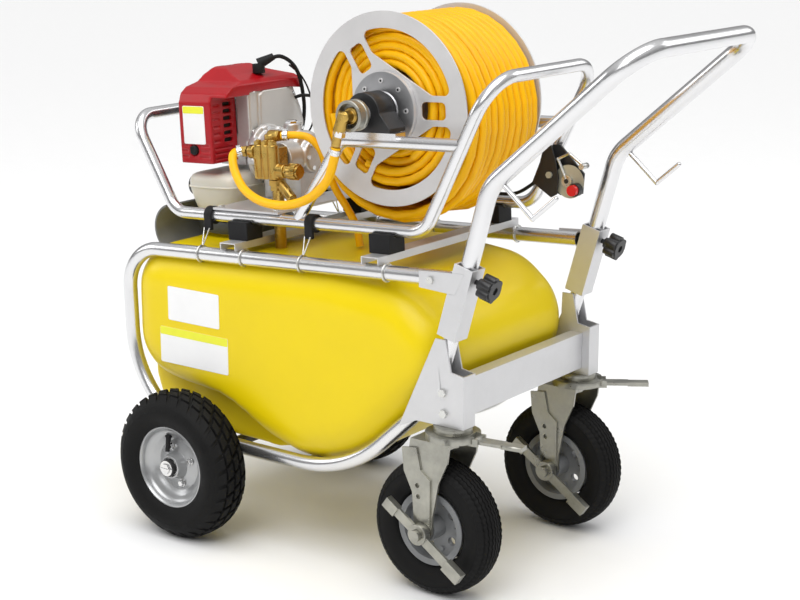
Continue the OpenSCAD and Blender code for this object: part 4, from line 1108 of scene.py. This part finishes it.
def make_swivel():
    """Zinc ring on the reel's shaft with the brass elbow turning inside it."""
    start = SWIVEL_START
    bm = bmesh.new()
    drum(bm, (REEL[0], start + 1, REEL[1]), (0, -1, 0),
         [(10, 0), (24, 0), (25, 1), (25, 6), (23.6, 7), (23.6, 16), (25, 17), (25, 23), (24, 24),
          (20, 24), (19.4, 23), (19.4, 12), (10, 12)], 72)
    turned("swivel_ring", bm, "steel", MATERIALS["zinc"], edge=0.3)
    parts = bmesh.new()
    plug(parts, (REEL[0], start - 8, REEL[1]), (0, -1, 0), 13.5, 10, edge=1)
    plug(parts, (REEL[0], start - 14, REEL[1]), (0, -1, 0), 8.6, 20, edge=1)
    plug(parts, (REEL[0] - 2, start - 28, REEL[1] + 6), (-0.36, -0.06, -0.93), 10, 34, edge=2)
    plug(parts, (REEL[0] - 12, start - 31, REEL[1] - 18), (-0.30, 0, -0.95), 7.4, 30, edge=1)
    mesh = with_cuts(parts, None, 1.0, 3)
    on_carrier("swivel_elbow", mesh, "brass", replaces=["hose_swivel"])
    bm = bmesh.new()
    hexagon(bm, (REEL[0] - 11, start - 30.4, REEL[1] - 22), (-0.30, 0, -0.95), 17, 9)
    for k in range(2):
        a = math.radians(60 + 180 * k)
        plug(bm, (REEL[0] + 16 * math.cos(a), start - 11, REEL[1] + 16 * math.sin(a)), (0, -1, 0),
             2.0, 2.4, 16, 0.6)
    turned("swivel_nut", bm, "brass", BRIGHT_STEEL, edge=0.5)


HUB_FACE, SCREW_FACE, SCREW_CIRCLE = 116.05, 118.8, 47


def make_hub_cap():
    """Brushed disc over the hub's near face, with a raised collar and eight screw sockets drawn as
    thin discs of painted shade.
    """
    bm = bmesh.new()
    drum(bm, (REEL[0], -HUB_FACE, REEL[1]), (0, -1, 0),
         [(19, 0), (61, 0), (61, 0.5), (59.5, 0.9), (31, 0.9), (29, 2.4), (19, 2.4)], 96)
    turned("hub_cap", bm, "reel_alu", BRUSHED_DISC, body="reel", edge=0)
    bm = bmesh.new()
    # painted shade: each socket is a 0.35 mm dark disc that stands in for the shade in its recess
    for k in range(8):
        a = math.radians(45 * k)
        plug(bm, (REEL[0] + SCREW_CIRCLE * math.cos(a), -SCREW_FACE,
                  REEL[1] + SCREW_CIRCLE * math.sin(a)), (0, -1, 0), 2.2, 0.35, 6)
    turned("hub_socket_shade", bm, "dark_steel", PAINTED_SHADE, body="reel", edge=0)


def make_control():
    """Zinc guide disc of the throttle lever, with the bracket's black arm in front of it."""
    bm = bmesh.new()
    drum(bm, (203, 129.3, 45), (0, 1, 0), [(0, 0), (28, 0), (28, 0.6), (0, 0.6)])
    turned("control_disc", bm, "zinc", PASSIVATED, edge=0)
    bm = bmesh.new()
    in_side_view(bm, [(136, 42), (152, 76), (162, 108), (174, 108), (182, 82), (188, 52),
                      (184, 24), (172, 18)], 120.5, 123.5)
    brick(bm, 150, 168, 123.5, 138.5, 50, 66)
    turned("control_arm", bm, "dark_steel", MATERIALS["black_plastic"], edge=0.8)
    bm = bmesh.new()
    hexagon(bm, (171, 120.5, 56), (0, -1, 0), 10, 4.5)
    turned("control_bolt", bm, "zinc", PASSIVATED, edge=0.5)


def make_lines():
    """Ignition lead and stop wire from the plug boot, held by the cowl."""
    lead = [(-333, 20, 252), (-324, 34, 253), (-319, 56, 240), (-322, 78, 216), (-330, 96, 180),
            (-336, 104, 150), (-338, 98, 120), (-340, 84, 104)]
    wire = [(-330, 62, 236), (-318, 78, 216), (-312, 90, 190), (-306, 92, 160), (-304, 88, 132),
            (-304, 70, 112), (-304, 50, 100)]
    for name, route, size, stiff in (("ignition_lead", lead, 7, "stiff"),
                                     ("stop_wire", wire, 3.2, "medium")):
        line = [carrier(*p) for p in smooth_line(route, 8)]
        obj = curve_object(name, line, size / 2 * MM, "cart", MATERIALS["rubber"],
                           sides=16)


make_engine_cover()
make_engine_shroud()
make_fuel_tank()
make_pump()
make_manifold()
make_swivel()
make_hub_cap()
make_control()
make_lines()

# ---------------------------------------------------------------- floor and light


def make_floor():
    bm = bmesh.new()
    bmesh.ops.create_circle(bm, cap_ends=True, radius=60, segments=64)
    floor = scratch("floor", bm)
    floor.location.z = -0.0005
    floor.data.materials.append(
        surface("floor_paper", (0.86, 0.86, 0.86), 0.65, mottle=0.004, grain=40, grain_bump=0.01))


def make_world():
    """A white tent, darker towards the horizon so that bare metal shows its edges."""
    world = bpy.data.worlds.new("studio")
    world.use_nodes = True
    tree = world.node_tree
    back = tree.nodes["Background"]
    place = tree.nodes.new("ShaderNodeTexCoord")
    split = tree.nodes.new("ShaderNodeSeparateXYZ")
    ramp = tree.nodes.new("ShaderNodeValToRGB")
    ramp.color_ramp.elements[0].position, ramp.color_ramp.elements[0].color = 0.0, (0.20,) * 3 + (1,)
    ramp.color_ramp.elements[1].position, ramp.color_ramp.elements[1].color = 0.75, (1,) * 4
    middle = ramp.color_ramp.elements.new(0.30)
    middle.color = (0.42,) * 3 + (1,)
    tree.links.new(place.outputs["Generated"], split.inputs[0])
    tree.links.new(split.outputs["Z"], ramp.inputs["Fac"])
    tree.links.new(ramp.outputs["Color"], back.inputs["Color"])
    back.inputs["Strength"].default_value = 0.66
    bpy.context.scene.world = world


def aim(light, at, target):
    light.location = at
    light.rotation_mode = "QUATERNION"
    light.rotation_quaternion = (Vector(target) - Vector(at)).to_track_quat("-Z", "Y")
    bpy.context.scene.collection.objects.link(light)


def make_lights():
    middle = (0, 0, 0.45)
    for name, at, size, power in (("key", (0.9, -3.0, 2.9), 2.0, 36),
                                  ("side", (-3.4, -1.6, 1.9), 1.6, 20),
                                  ("rear", (1.8, 3.0, 2.6), 2.0, 22)):
        data = bpy.data.lights.new(name, "AREA")
        data.energy, data.size = power, size
        aim(bpy.data.objects.new(name, data), at, middle)
    sun = bpy.data.lights.new("tent_top", "SUN")
    sun.energy, sun.angle = 2.0, math.radians(60)
    aim(bpy.data.objects.new("tent_top", sun), (0.6, -1.2, 5), middle)


make_floor()
make_world()
make_lights()
bpy.context.scene.view_settings.view_transform = "Standard"
